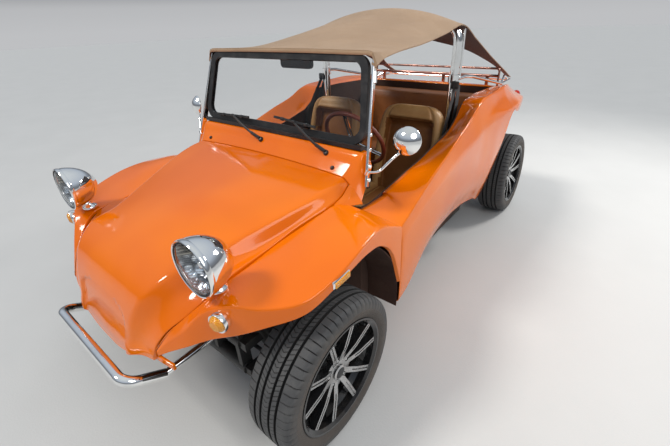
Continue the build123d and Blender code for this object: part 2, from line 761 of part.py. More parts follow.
def engine():
    block = slab(at(-150, 1292, 235), at(150, 1600, 480))
    for side in (-1, 1):
        for k in range(2):
            y = 1330 + 150 * k
            block += slab(at(side * 145, y, 290), at(side * 300, y + 110, 430))
            for fin in range(5):
                x = side * (165 + 25 * fin)
                block += slab(at(x - 5, y - 12, 278), at(x + 5, y + 122, 442))
        block += slab(at(side * 300, 1322, 270), at(side * 335, 1600, 440))
    shroud = Pos(*at(0, 1390, 620)) * Rot(90, 0, 0) * Cylinder(175, 120)
    shroud += slab(at(-250, 1330, 430), at(250, 1450, 620))
    block += shroud
    block += rod(at(0, 1440, 640), at(0, 1590, 640), 52)
    block += rod(at(0, 1590, 640), at(0, 1612, 640), 74)
    block += rod(at(0, 1600, 350), at(0, 1630, 350), 88)
    block += slab(at(-40, 1470, 470), at(40, 1560, 600))
    return block


tailpipe_x = 120.0
tailpipe_z = 285.0
tailpipe_end_y = 1764.0
tailpipe_tip_length = 24.0
tailpipe_tip_radius = 22.0
tailpipe_bore_radius = 16.0
tailpipe_bore_depth = 60.0


def exhaust():
    muffler = rod(at(-260, 1688, 300), at(260, 1688, 300), 50)
    for side in (-1, 1):
        muffler += bent_tube([at(side * 200, 1688, 300), at(side * 200, 1688, 225),
                              at(side * 230, 1560, 225), at(side * 230, 1560, 277.7)], 34, 24)
        tip_start = tailpipe_end_y - tailpipe_tip_length
        muffler += rod(at(side * tailpipe_x, 1700, tailpipe_z), at(side * tailpipe_x, tip_start, tailpipe_z), 19)
        tip = rod(at(side * tailpipe_x, tip_start, tailpipe_z),
                  at(side * tailpipe_x, tailpipe_end_y, tailpipe_z), tailpipe_tip_radius)
        bore = rod(at(side * tailpipe_x, tailpipe_end_y - tailpipe_bore_depth, tailpipe_z),
                   at(side * tailpipe_x, tailpipe_end_y + 1, tailpipe_z), tailpipe_bore_radius)
        muffler = muffler + tip - bore
    return muffler


def floor_pan():
    plan = [(0, -850), (440, -850), (pan_half_width, -770), (pan_half_width, 560),
            (545, 700), (545, 835), (300, 880), (0, 880)]
    pan = Pos(0, 0, pan_z) * extrude(half_plan([at(x, y, 0)[:2] for x, y in plan]), pan_thickness)
    top = drawn_pan_z + pan_thickness
    tunnel = slab(at(-tunnel_half_width, -839.7, top - 1), at(tunnel_half_width, 846, drawn_pan_z + tunnel_height))
    hollow = slab(at(-tunnel_half_width + 4, -836, drawn_pan_z - 1),
                  at(tunnel_half_width - 4, 842, drawn_pan_z + tunnel_height - 4))
    head_front = beam_y + 12
    head = [(0, -845.3), (tunnel_half_width, -845.3), (170, -1180), (170, head_front), (0, head_front)]
    head = Pos(0, 0, pan_z) * extrude(half_plan([at(x, y, 0)[:2] for x, y in head]), 92)
    tube = rod(at(-400, beam_y, beam_low_z), at(400, beam_y, beam_low_z), beam_tube_radius + seat_gap)
    return fitted(pan + tunnel - hollow + head, tube)


# Wheels. The axis of the local solids is x, with the outer face towards +x.
def tyre():
    half = tyre_width / 2
    bead = rim_width / 2 - rim_flange - seat_gap
    profile = make_face(Polyline(
        (-bead, tyre_bead_radius), (-bead, rim_lip_radius + 2), (-half, rim_lip_radius + 22),
        (-half, tyre_radius - 40),
        (-tread_half_width, tyre_radius - 8), (-tread_flat, tyre_radius),
        (tread_flat, tyre_radius), (tread_half_width, tyre_radius - 8),
        (half, tyre_radius - 40), (half, rim_lip_radius + 22), (bead, rim_lip_radius + 2),
        (bead, tyre_bead_radius),
        (half - 26, tyre_bead_radius), (half - 26, tyre_bead_radius + 24),
        (tread_half_width - 14, tyre_radius - 22), (-tread_half_width + 14, tyre_radius - 22),
        (-half + 26, tyre_bead_radius + 24), (-half + 26, tyre_bead_radius), close=True))
    return revolve(profile, Axis.X)


def rim(front):
    half = rim_width / 2
    lip, barrel = rim_lip_radius, rim_barrel_radius
    seat = tyre_bead_radius - seat_gap
    outer = [(-half, lip), (-half + rim_flange, lip), (-half + rim_flange, seat), (-half + 34, seat),
             (-half + 46, barrel), (half - 60, barrel), (half - 40, seat), (half - rim_flange, seat),
             (half - rim_flange, lip), (half, lip)]
    inner = [(half, lip - rim_wall), (half - 10, seat - rim_wall), (half - 40, seat - rim_wall),
             (half - 62, barrel - rim_wall), (-half + 44, barrel - rim_wall),
             (-half + 32, seat - rim_wall), (-half, seat - rim_wall)]
    barrel_solid = revolve(make_face(Polyline(*outer, *inner, close=True)), Axis.X)
    face_x = half - rim_face_inset
    hub = make_face(Polyline(
        (face_x - 66, 0), (face_x - 66, hub_radius - 6), (face_x - 40, hub_radius),
        (face_x - 24, hub_radius - 4), (face_x - 22, hub_cap_radius), (face_x - 16, hub_cap_radius),
        (face_x - 12, hub_cap_radius - 7), (face_x - 11, 0), close=True))
    wheel = barrel_solid + revolve(hub, Axis.X)
    # a spoke seen along the rim, as (x, radius), dished towards the hub
    profile = make_face(Polyline(
        (face_x - 24, 44), (face_x - 7, 120), (face_x + 3, spoke_reach), (face_x - 26, spoke_reach),
        (face_x - 44, 120), (face_x - 54, 44), close=True))
    groove = make_face(Polyline(
        (face_x - 18, 96), (face_x - 9, 140), (face_x - 2, spoke_reach - 8), (face_x + 20, spoke_reach - 8),
        (face_x + 20, 96), close=True))
    for pair in range(spoke_pairs):
        for side in (-1, 1):
            spoke = extrude(profile, spoke_width / 2, both=True)
            spoke -= extrude(groove, spoke_groove / 2, both=True)
            angle = spoke_turn + 360.0 / spoke_pairs * pair + side * spoke_spread / 2
            wheel += Rot(angle, 0, 0) * spoke
    for i in range(bolt_count):
        angle = radians(spoke_turn + 360.0 / bolt_count * i)
        wheel -= Pos(face_x - 20, bolt_circle_radius * cos(angle), bolt_circle_radius * sin(angle)) * (
            Rot(0, 90, 0) * Cylinder(bolt_hole_radius, 40))
    drum_low = -75.0 if front else -85.0
    drum = Rot(0, 90, 0) * Cylinder(drum_radius, drum_width)
    bore = Rot(0, 90, 0) * Cylinder(drum_radius - 10, drum_width)
    shaft = Rot(0, 90, 0) * Cylinder(15 + 0.4, 400)
    drum = Pos(drum_low + drum_width / 2, 0, 0) * drum - Pos(drum_low + drum_width / 2 - 10, 0, 0) * bore
    neck_low, neck_high = drum_low + drum_width - 6, face_x - 60
    neck = Pos((neck_low + neck_high) / 2, 0, 0) * Rot(0, 90, 0) * Cylinder(
        hub_radius - 8, neck_high - neck_low)
    wheel = wheel + drum + neck
    return wheel - Pos(-200 - 10, 0, 0) * shaft


def place_wheel(shape, side, front):
    """Turn the outer face outwards, lean the rear wheels in and set them on their hubs."""
    shape = shape if side > 0 else mirrored(shape)
    camber = 0.0 if front else -rear_camber * side
    x = front_wheel_x if front else rear_wheel_x
    y = front_axle_y if front else rear_axle_y
    z = axle_z if front else rear_axle_z
    return Pos(side * x, y, z) * Rot(0, camber, 0) * shape


# Lamps
lamp_centre = (499.0, -1512.0, 877.0)      # middle of the glass
lamp_radius = 96.0
lamp_depth = 150.0


def headlamps():
    bowl = make_face(Polyline((0, 0), (lamp_radius - 14, 0), (lamp_radius, -8), (lamp_radius, -20),
                              (lamp_radius - 6, -28), (lamp_radius - 8, -52), (lamp_radius - 22, -92),
                              (lamp_radius - 48, -124), (lamp_radius - 76, -142), (0, -lamp_depth), close=True))
    bucket = revolve(bowl, Axis.Y)
    hollow = revolve(make_face(Polyline((0, 1), (lamp_radius - 13, 1), (lamp_radius - 13, -14),
                                        (lamp_radius - 40, -70), (0, -95), close=True)), Axis.Y)
    bucket = bucket - hollow
    # the local +y axis turns to face forward
    bucket = Pos(*at(*lamp_centre)) * Rot(0, 0, 180) * bucket
    x, y, z = at(lamp_centre[0], lamp_centre[1] + 66, 0)
    stalk_low = at(0, 0, 748)[2]
    stalk_high = at(0, 0, lamp_centre[2] - lamp_radius + 12)[2]
    foot = Pos(x, y, (stalk_low + stalk_high) / 2) * Cylinder(17, stalk_high - stalk_low)
    foot += Pos(x, y, at(0, 0, 768)[2]) * Cylinder(31, 8)
    return fitted(bucket + foot, front_fender())


def headlamp_lenses():
    lens = make_face(Polyline((0, 0), (0, 13), (38, 10), (66, 3), (lamp_radius - 13.4, -6),
                              (lamp_radius - 13.4, -11), (60, -2), (0, 7), close=True))
    # drawn forward of the rim, which faces -y
    lens = revolve(lens, Axis.Y)
    return Pos(*at(*lamp_centre)) * Rot(0, 0, 180) * lens


def marker_lamps():
    x, y, z = at(576, -1494, 728)
    direction = Vector(0.42, -0.9, 0).normalized()
    base = Vector(x, y, z)
    lamp = rod(base - direction * 4, base + direction * 20, 34)
    lamp += rod(base + direction * 20, base + direction * 34, 26)
    side = slab(at(781, -1232, 757), at(797, -1152, 779))
    fender = front_fender()
    return fitted(lamp, fender), fitted(side, fender)


def tail_lamps():
    x, y, z = at(585, 1552, 890)
    return fitted(rod((x, y, z), (x, y + 26, z), 34), rear_fender(), rear_deck())


def front_bumper():
    end_z = 392.0
    y = -half_length + bumper_tube / 2 - (front_axle_y + drawn_axle_y)
    bar = bent_tube([at(304, -1625, end_z), at(300, y, 462), at(-300, y, 462),
                     at(-304, -1625, end_z)], bumper_tube, 52)
    for side in (-1, 1):
        bar += rod(at(side * 304, -1628, end_z), at(side * 304, beam_y, beam_high_z), 14)
    tube = rod(at(-400, beam_y, beam_high_z), at(400, beam_y, beam_high_z), beam_tube_radius + seat_gap)
    return fitted(bar, tube)


def rear_bumper():
    y = half_length - bumper_tube / 2 - (rear_axle_y - drawn_axle_y)
    bar = bent_tube([at(392, 1560, 420), at(392, y, 470), at(-392, y, 470), at(-392, 1560, 420)],
                    bumper_tube, 60)
    for side in (-1, 1):
        bar += rod(at(side * 392, 1565, 421), at(side * 400, 1105, 560), 14)
    return fitted(bar, slab(at(-430, 1010, 500), at(430, 1110.3, 620)))


rack_y = 1120.0
rack_half = 538.0


def luggage_rack():
    top = bent_tube([at(-rack_half, rack_y, 1006), at(-rack_half, rack_y, 1138),
                     at(rack_half, rack_y, 1138), at(rack_half, rack_y, 1006)], rack_tube, 22)
    top += rod(at(-rack_half, rack_y, 1086), at(rack_half, rack_y, 1086), 10)
    for x in (-457, 107, 457):
        top += slab(at(x - 11, rack_y - 9, 1004), at(x + 11, rack_y + 9, 1086))
    return fitted(top, rear_deck())


def wipers():
    pieces = []
    for pivot_x, tip_x in ((317, 190), (-119, -390)):
        base = Vector(*at(pivot_x, -742, 985))
        tip = Vector(*at(tip_x, -722, 1045))
        arm = rod(base - Vector(0, -6, 22), base + Vector(0, -10, 26), 10)
        arm += rod(base + Vector(0, -8, 20), tip, 4)
        blade = rod(tip + Vector(-130, 3, 4), tip + Vector(130, 3, 4), 5)
        pieces.append(fitted(arm + blade, cowl()))
    return pieces


def door_mirrors():
    head = Vector(*at(715, -659, 1067))
    disc = Plane(origin=head, z_dir=(0.25, -0.95, 0.18)) * (
        extrude(Circle(66), 14, taper=18) + Pos(0, 0, -8) * extrude(Circle(66), 8))
    arm = rod(at(588, -742, 925), at(640, -700, 945), 6)
    arm += Pos(*at(640, -700, 945)) * Sphere(6)
    arm += rod(at(640, -700, 945), head + Vector(0, 0, -40), 6)
    return both(fitted(disc + arm, windshield_posts()))


def interior_mirror():
    x, y, z = at(60, -560, 1322)
    mirror = Pos(x, y, z) * Box(200, 16, 55)
    mirror = fillet(mirror.edges().filter_by(Axis.Y), 18)
    return fitted(mirror + rod((x, y, z + 20), at(60, -610, 1354), 6), windshield_frame())


def seat_belts():
    inner_x = roll_bar_x - roll_bar_tube / 2
    strap = slab(at(inner_x - 52, roll_bar_y - 24, 420), at(inner_x - 6, roll_bar_y - 21, 1120))
    strap += slab(at(inner_x - 46, roll_bar_y - 26, 1085), at(inner_x + 14, roll_bar_y - 2, 1130))
    strap += slab(at(inner_x - 56, roll_bar_y - 32, 380), at(inner_x - 2, roll_bar_y - 14, 450))
    return both(fitted(strap, roll_bar()))


def controls():
    lever = rod(at(0, -300, drawn_pan_z + tunnel_height), at(0, -340, 590), 7)
    lever += Pos(*at(0, -340, 598)) * Sphere(22)
    brake = rod(at(0, -120, drawn_pan_z + tunnel_height), at(0, -290, 430), 10)
    pieces = [lever, brake]
    for x in (190, 255, 320):
        pieces.append(slab(at(x - 22, -806, 300), at(x + 22, -794, 360))
                      + rod(at(x, -800, drawn_pan_z + pan_thickness), at(x, -800, 305), 7))
    pan = floor_pan()
    return [fitted(piece, pan) for piece in pieces]


parts = {}


def keep(name, *solids):
    parts[name] = list(solids)


keep("hood", hood())
keep("cowl", cowl())
keep("dashboard", dashboard())
for side, name in ((1, "left"), (-1, "right")):
    turn = (lambda shape: shape) if side > 0 else mirrored
    keep(f"front_fender_{name}", turn(front_fender()))
    keep(f"side_panel_{name}", turn(side_panel()))
    keep(f"rear_fender_{name}", turn(rear_fender()))
    keep(f"front_seat_{name}", turn(front_seat()))
    keep(f"knuckle_{name}", turn(knuckle()))
    for front, place in ((True, "front"), (False, "rear")):
        keep(f"tyre_{place}_{name}", place_wheel(tyre(), side, front))
        keep(f"rim_{place}_{name}", place_wheel(rim(front), side, front))
keep("rear_deck", rear_deck())
keep("cockpit_tub", cockpit_tub())
keep("windshield_frame", windshield_frame())
keep("windshield_glass", windshield_glass())
keep("windshield_posts", *both(windshield_posts()))
keep("roll_bar", roll_bar())
keep("soft_top", soft_top())
keep("soft_top_frame", soft_top_frame())
keep("rear_seat", rear_seat())
keep("steering_wheel", steering_wheel())
keep("steering_column", steering_column())
keep("front_axle_beam", front_axle_beam())
keep("front_suspension", *front_suspension())
keep("track_rod", track_rod())
keep("rear_suspension", rear_suspension())
keep("transaxle", transaxle())
keep("engine", engine())
keep("exhaust", exhaust())
keep("floor_pan", floor_pan())
keep("headlamps", *both(headlamps()))
keep("headlamp_lenses", *both(headlamp_lenses()))
front_marker, side_marker = marker_lamps()
keep("marker_lamps", *both(front_marker), *both(side_marker))
keep("tail_lamps", *both(tail_lamps()))
keep("front_bumper", front_bumper())
keep("rear_bumper", rear_bumper())
keep("luggage_rack", luggage_rack())
keep("wipers", *wipers())
keep("door_mirrors", *door_mirrors())
keep("interior_mirror", interior_mirror())
keep("seat_belts", *seat_belts())
keep("driver_controls", *controls())

os.makedirs("parts", exist_ok=True)
for name, solids in parts.items():
    bodies = [solid for shape in solids for solid in shape.solids()]
    whole = bodies[0] if len(bodies) == 1 else Compound(children=bodies)
    whole.label = name
    export_step(whole, f"parts/{name}.step")
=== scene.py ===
"""Looks of an orange dune buggy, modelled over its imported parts.

Lengths in the tables are millimetres and the scene's unit is the metre. The vehicle faces -Y,
+X is its left side and the ground is at Z = 0.
"""
import json
from math import cos, hypot, pi, radians, sin

import bpy
from bpy.props import FloatProperty, FloatVectorProperty, IntProperty, PointerProperty
from mathutils import Matrix, Vector

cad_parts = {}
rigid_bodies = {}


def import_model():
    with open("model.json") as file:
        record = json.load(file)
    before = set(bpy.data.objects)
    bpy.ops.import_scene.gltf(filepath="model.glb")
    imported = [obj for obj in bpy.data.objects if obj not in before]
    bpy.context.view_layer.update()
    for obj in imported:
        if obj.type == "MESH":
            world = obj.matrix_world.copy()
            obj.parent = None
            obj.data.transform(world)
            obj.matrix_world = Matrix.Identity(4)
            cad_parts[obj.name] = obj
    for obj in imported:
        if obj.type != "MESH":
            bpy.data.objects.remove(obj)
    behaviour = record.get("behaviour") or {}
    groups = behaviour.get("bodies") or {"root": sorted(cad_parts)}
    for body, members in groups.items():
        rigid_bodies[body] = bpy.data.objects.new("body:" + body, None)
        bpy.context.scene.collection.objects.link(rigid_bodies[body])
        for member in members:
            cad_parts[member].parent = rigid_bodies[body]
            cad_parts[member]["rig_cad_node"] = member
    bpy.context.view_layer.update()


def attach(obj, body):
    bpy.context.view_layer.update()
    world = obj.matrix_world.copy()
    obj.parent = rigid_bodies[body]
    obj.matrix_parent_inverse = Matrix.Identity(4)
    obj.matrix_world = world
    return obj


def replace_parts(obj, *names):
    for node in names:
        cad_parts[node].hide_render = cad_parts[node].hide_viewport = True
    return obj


bl_info = {
    "name": "Dune Buggy Looks",
    "version": (1, 0, 0),
    "blender": (4, 5, 0),
    "location": "3D View > Sidebar > Buggy",
    "description": "Builds the painted skins, canvas, seats, tyres, lamps and studio of a dune buggy",
    "category": "Object",
}

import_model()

MM = 0.001
BODY = "body"
SIDES = (("left", 1), ("right", -1))
LEFT, UP = Vector((1, 0, 0)), Vector((0, 0, 1))
AHEAD, REAR = Vector((0, -1, 0)), Vector((0, 1, 0))
# Middles of the left wheels, and how far the rear wheels lean in at the top, in degrees
front_hub, rear_hub = (706, -1200, 318), (681, 1200, 320.7)
rear_camber = 3.0


# Points and paths

def spot(x, y, z):
    """A point in metres from millimetres."""
    return Vector((x, y, z)) * MM


def spots(places, side):
    """Points in metres from places in millimetres, mirrored to the right side if side is -1."""
    return [spot(x * side, y, z) for x, y, z in places]


def turned(vector, side):
    """The vector, mirrored to the other side of the vehicle if side is -1."""
    return Vector((vector.x * side, vector.y, vector.z))


def between(table, y):
    """Value of a short (y, value) table at y."""
    for (y1, v1), (y2, v2) in zip(table, table[1:]):
        if y <= y2:
            return v1 + (v2 - v1) * max(0.0, (y - y1) / (y2 - y1))
    return table[-1][1]


def soft_step(value, low, high):
    """0 below low, 1 above high and smooth between."""
    t = min(1.0, max(0.0, (value - low) / (high - low)))
    return t * t * (3 - 2 * t)


def rounded(points, reaches, arc=4, run=3):
    """The polyline with its corners swept round. The number of points depends only on arc and run."""
    if not isinstance(reaches, (list, tuple)):
        reaches = [reaches] * len(points)
    cuts = [(points[0], points[0])]
    for i in range(1, len(points) - 1):
        before, after = points[i - 1] - points[i], points[i + 1] - points[i]
        reach = min(reaches[i] * MM, 0.45 * before.length, 0.45 * after.length)
        cuts.append((points[i] + before.normalized() * reach, points[i] + after.normalized() * reach))
    cuts.append((points[-1], points[-1]))
    result = []
    for i, (enter, leave) in enumerate(cuts):
        if 0 < i < len(points) - 1:
            for k in range(arc + 1):
                t = k / arc
                result.append(enter * (1 - t) ** 2 + points[i] * 2 * t * (1 - t) + leave * t ** 2)
        else:
            result.append(enter)
        if i < len(points) - 1:
            result += [leave.lerp(cuts[i + 1][0], k / run) for k in range(1, run)]
    return result


def smooth_rows(rows, steps):
    """More rows on a smooth path through the given ones, steps of them in each span."""
    spans = []
    for a, b in zip(rows, rows[1:]):
        spans.append(max(1e-4, sum((q - p).length for p, q in zip(a, b)) / len(a)))
    slopes = []
    for i, row in enumerate(rows):
        if i in (0, len(rows) - 1):
            first = min(i, len(rows) - 2)
            slope = [(q - p) / spans[first] for p, q in zip(rows[first], rows[first + 1])]
        else:
            left, right = spans[i - 1], spans[i]
            slope = [((here - before) / left * right + (after - here) / right * left) / (left + right)
                     for before, here, after in zip(rows[i - 1], row, rows[i + 1])]
        slopes.append(slope)
    result = []
    for i, span in enumerate(spans):
        count = steps[i] if isinstance(steps, (list, tuple)) else steps
        for k in range(count):
            t = k / count
            a, b = 2 * t ** 3 - 3 * t ** 2 + 1, 3 * t ** 2 - 2 * t ** 3
            c, d = (t ** 3 - 2 * t ** 2 + t) * span, (t ** 3 - t ** 2) * span
            result.append([p * a + q * b + m * c + n * d for p, q, m, n in zip(
                rows[i], rows[i + 1], slopes[i], slopes[i + 1])])
    result.append(list(rows[-1]))
    return result


def smooth_path(points, steps):
    """A smooth path through the points."""
    return [row[0] for row in smooth_rows([[p] for p in points], steps)]


def ring_directions(direction):
    """Two unit vectors square to the direction and to each other."""
    direction = direction.normalized()
    helper = UP if abs(direction.z) < 0.9 else LEFT
    across = direction.cross(helper).normalized()
    return across, across.cross(direction).normalized()


class Form:
    """Collects the faces of one piece."""

    def __init__(self):
        self.points, self.faces, self.uvs, self.slots, self.grids = [], [], [], [], []

    def rows(self, rows, closed=False, loop=False, caps=False, slot=0):
        """Faces over rows of points, with UV in metres: u along a row and v from row to row."""
        base, wide, high = len(self.points), len(rows[0]), len(rows)
        first_face = len(self.faces)
        along, u_rows = [0.0], []
        for a, b in zip(rows, rows[1:] + rows[:1]):
            along.append(along[-1] + sum((q - p).length for p, q in zip(a, b)) / wide)
        for row in rows:
            u = [0.0]
            for p, q in zip(row, row[1:] + row[:1]):
                u.append(u[-1] + (q - p).length)
            u_rows.append(u)
            self.points += row
        for j in range(high if loop else high - 1):
            for i in range(wide if closed else wide - 1):
                below, above = j * wide, (j + 1) % high * wide
                self.faces.append((base + below + i, base + below + (i + 1) % wide,
                                   base + above + (i + 1) % wide, base + above + i))
                upper = u_rows[(j + 1) % high]
                self.uvs.append([(u_rows[j][i], along[j]), (u_rows[j][i + 1], along[j]),
                                 (upper[i + 1], along[j + 1]), (upper[i], along[j + 1])])
                self.slots.append(slot)
        if caps:
            for start, order in ((0, -1), ((high - 1) * wide, 1)):
                face = tuple(base + start + i for i in range(wide))[::order]
                self.faces.append(face)
                self.uvs.append([(self.points[i].x, self.points[i].y) for i in face])
                self.slots.append(slot)
        self.grids.append((first_face, len(self.faces)))
        return self

    def face_out(self, inside):
        """Turn each grid of faces to face away from a point, or from its own middle."""
        for start, end in self.grids:
            quads = [[self.points[i] for i in face] for face in self.faces[start:end] if len(face) == 4]
            middle = inside or sum((quad[0] for quad in quads), Vector()) / len(quads)
            outward = sum((c - a).cross(d - b).dot(a + b + c + d - middle * 4) for a, b, c, d in quads)
            if outward < 0:
                for i in range(start, end):
                    self.faces[i], self.uvs[i] = self.faces[i][::-1], self.uvs[i][::-1]

    def tube(self, path, radius, sides=12, slot=0, loop=False, flat=1.0):
        """Round bar along a path; flat squeezes it along its second direction."""
        rows = []
        across = None
        for i, here in enumerate(path):
            before = path[i - 1] if i or loop else here
            after = path[(i + 1) % len(path)] if i < len(path) - 1 or loop else here
            direction = (after - before).normalized()
            if across is None:
                across = ring_directions(direction)[0]
            across = (across - direction * across.dot(direction)).normalized()
            other = direction.cross(across)
            ring = []
            for k in range(sides):
                angle = 2 * pi * k / sides
                ring.append(here + (across * cos(angle) + other * sin(angle) * flat) * radius)
            rows.append(ring)
        return self.rows(rows, closed=True, loop=loop, caps=not loop, slot=slot)

    def lathe(self, profile, origin, direction, steps=32, slot=0):
        """Profile of (along, radius) in metres turned round a direction."""
        direction = direction.normalized()
        across, other = ring_directions(direction)
        rows = []
        for k in range(steps):
            angle = 2 * pi * k / steps
            out = across * cos(angle) + other * sin(angle)
            rows.append([origin + direction * a + out * r for a, r in profile])
        return self.rows(rows, loop=True, slot=slot)

    def block(self, centre, size, axes=(LEFT, REAR, UP), soft=2.0, slot=0):
        """Box with chamfered edges; size and soft are millimetres."""
        first, second, third = axes
        half_x, half_y, half_z = (s / 2 * MM for s in size)
        cut = soft * MM
        rows = []
        for z, inset in ((-half_z, cut), (-half_z + cut, 0), (half_z - cut, 0), (half_z, cut)):
            a, b = half_x - inset, half_y - inset
            ring = [(a - cut, -b), (a, -b + cut), (a, b - cut), (a - cut, b),
                    (-a + cut, b), (-a, b - cut), (-a, -b + cut), (-a + cut, -b)]
            rows.append([centre + first * x + second * y + third * z for x, y in ring])
        return self.rows(rows, closed=True, caps=True, slot=slot)

    def build(self, name, body, *materials, thickness=0.0, inside=None, merge=False, sharp=38.0,
              under=None):
        """The piece as an object that rides on a CAD body; an open skin is thickened to its inside."""
        self.face_out(inside)
        mesh = bpy.data.meshes.new(name)
        mesh.from_pydata(self.points, [], self.faces)
        layer = mesh.uv_layers.new(name="UVMap")
        layer.data.foreach_set("uv", [value for face in self.uvs for pair in face for value in pair])
        mesh.polygons.foreach_set("material_index", self.slots)
        for material in materials:
            mesh.materials.append(finish(material))
        piece = bpy.data.objects.new(name, mesh)
        bpy.context.scene.collection.objects.link(piece)
        if merge:
            weld = piece.modifiers.new("weld", "WELD")
            weld.merge_threshold = 0.0002
        if thickness:
            if under:
                mesh.materials.append(finish(under))
            wall = piece.modifiers.new("wall", "SOLIDIFY")
            wall.thickness = thickness * MM
            wall.offset = -1.0
            wall.use_even_offset = True
            wall.material_offset = len(materials) if under else 0
        if merge or thickness:
            graph = bpy.context.evaluated_depsgraph_get()
            made = bpy.data.meshes.new_from_object(piece.evaluated_get(graph))
            piece.modifiers.clear()
            piece.data = made
            bpy.data.meshes.remove(mesh)
            made.name = name
        piece.data.polygons.foreach_set("use_smooth", [True] * len(piece.data.polygons))
        piece.data.set_sharp_from_angle(angle=radians(sharp))
        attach(piece, body)
        return piece


# Shader maths

class Number:
    """A number in a material's node tree, used in plain arithmetic."""

    def __init__(self, surface, socket):
        self.surface, self.socket = surface, socket

    def math(self, operation, *others):
        values = dict(enumerate((self, *others)))
        made = self.surface.node("ShaderNodeMath", {"operation": operation}, values)
        return Number(self.surface, made.outputs[0])

    def __add__(self, other):
        return self.math("ADD", other)

    def __sub__(self, other):
        return self.math("SUBTRACT", other)

    def __mul__(self, other):
        return self.math("MULTIPLY", other)

    def __truediv__(self, other):
        return self.math("DIVIDE", other)

    def __radd__(self, other):
        return self + other

    def __rsub__(self, other):
        return self * -1.0 + other

    def __rmul__(self, other):
        return self * other

    def __abs__(self):
        return self.math("ABSOLUTE")

    def wave(self):
        """Sine of the number of turns, from 0 to 1."""
        return (self * (2 * pi)).math("SINE") * 0.5 + 0.5

    def step(self, low, high):
        """0 at low, 1 at high and smooth between."""
        settings = {"interpolation_type": "SMOOTHSTEP", "clamp": True}
        values = {"Value": self, "From Min": low, "From Max": high}
        made = self.surface.node("ShaderNodeMapRange", settings, values)
        return Number(self.surface, made.outputs[0])


class Surface:
    """The nodes of one material, or of the world."""

    def __init__(self, owner):
        self.owner = owner
        owner.use_nodes = True
        self.tree = owner.node_tree
        self.tree.nodes.clear()

    def node(self, kind, settings=None, values=None):
        """A node with its settings set first, then its inputs as values or links."""
        made = self.tree.nodes.new(kind)
        for key, value in (settings or {}).items():
            setattr(made, key, value)
        for key, value in (values or {}).items():
            if isinstance(value, Number):
                value = value.socket
            if isinstance(value, bpy.types.NodeSocket):
                self.tree.links.new(value, made.inputs[key])
            else:
                made.inputs[key].default_value = value
        return made

    def place(self, kind="Object"):
        return self.node("ShaderNodeTexCoord").outputs[kind]

    def axis(self, index, kind="Object"):
        split = self.node("ShaderNodeSeparateXYZ", None, {0: self.place(kind)})
        return Number(self, split.outputs[index])

    def stretched(self, factors, kind="Object"):
        return self.node("ShaderNodeVectorMath", {"operation": "MULTIPLY"},
                         {0: self.place(kind), 1: factors}).outputs[0]

    def noise(self, scale, detail=3.0, roughness=0.5, vector=None):
        values = {"Vector": vector or self.place(), "Scale": scale, "Detail": detail,
                  "Roughness": roughness}
        return Number(self, self.node("ShaderNodeTexNoise", None, values).outputs[0])

    def cells(self, scale):
        """Distance from the middle of the nearest cell."""
        values = {"Vector": self.place(), "Scale": scale}
        made = self.node("ShaderNodeTexVoronoi", {"feature": "F1"}, values)
        return Number(self, made.outputs["Distance"])

    def mix(self, factor, first, second):
        """A colour between two, each a socket or (red, green, blue)."""
        first, second = ((*c, 1.0) if isinstance(c, tuple) else c for c in (first, second))
        # the node takes colours at its inputs 6 and 7, and gives one at its output 2
        made = self.node("ShaderNodeMix", {"data_type": "RGBA"}, {0: factor, 6: first, 7: second})
        return made.outputs[2]

    def bump(self, height, distance, under=None):
        values = {"Strength": 1.0, "Distance": distance, "Height": height}
        if under is not None:
            values["Normal"] = under
        return self.node("ShaderNodeBump", None, values).outputs[0]

    def done(self, **values):
        """The owner, with a Principled shader set by the values; _ stands for a space in a name."""
        named = {key.replace("_", " "): value for key, value in values.items()}
        shader = self.node("ShaderNodeBsdfPrincipled", None, named)
        self.node("ShaderNodeOutputMaterial", None, {"Surface": shader.outputs[0]})
        return self.owner


# Finishes

def gel_coat(surface, deep, light):
    """Glossy moulded colour with a soft waviness, fine grain and dust low down."""
    height = surface.axis(2)
    patches = surface.noise(2.3, 2.0).step(0.35, 0.7)
    base = surface.mix(patches, deep, light)
    dust = surface.noise(9.0, 5.0, 0.65).step(0.40, 0.80) * (1.0 - height.step(0.22, 0.60)) * 0.45
    base = surface.mix(dust, base, (0.36, 0.22, 0.13))
    specks = surface.noise(420.0, 1.0).step(0.74, 0.80) * 0.2
    base = surface.mix(specks, base, (0.50, 0.075, 0.001))
    rough = surface.noise(14.0, 4.0, 0.6) * 0.06 + dust * 0.5 + 0.07
    waves = surface.bump(surface.noise(4.5, 1.0), 0.004)
    peel = surface.bump(surface.noise(330.0, 1.0), 0.00006, waves)
    return surface.done(Base_Color=base, Roughness=rough, Normal=peel, Coat_Weight=0.22,
                        Coat_Roughness=0.02, IOR=1.40)


def arch_undercoat(surface):
    lumps = surface.noise(60.0, 5.0, 0.7)
    base = surface.mix(surface.noise(7.0, 3.0), (0.035, 0.012, 0.008), (0.085, 0.035, 0.02))
    mud = surface.noise(4.0, 5.0, 0.7).step(0.45, 0.8) * 0.5
    base = surface.mix(mud, base, (0.17, 0.12, 0.08))
    return surface.done(Base_Color=base, Roughness=surface.noise(30.0) * 0.2 + 0.7,
                        Normal=surface.bump(lumps, 0.003))


def fibre_back(surface):
    """Rough inner side of the mouldings, with chopped strands."""
    strands = surface.noise(90.0, 4.0, 0.7, surface.stretched((1.0, 3.0, 1.0)))
    base = surface.mix(strands, (0.16, 0.04, 0.008), (0.32, 0.09, 0.02))
    return surface.done(Base_Color=base, Roughness=strands * 0.2 + 0.6,
                        Normal=surface.bump(strands, 0.001))


def weave(surface, pitch):
    """Height of a plain cloth weave in the UV map's metres."""
    u, v = surface.axis(0, "UV") / pitch, surface.axis(1, "UV") / pitch
    over, under = u.wave() * (v * 0.5).wave(), v.wave() * (u * 0.5 + 0.25).wave()
    return over.math("MAXIMUM", under)


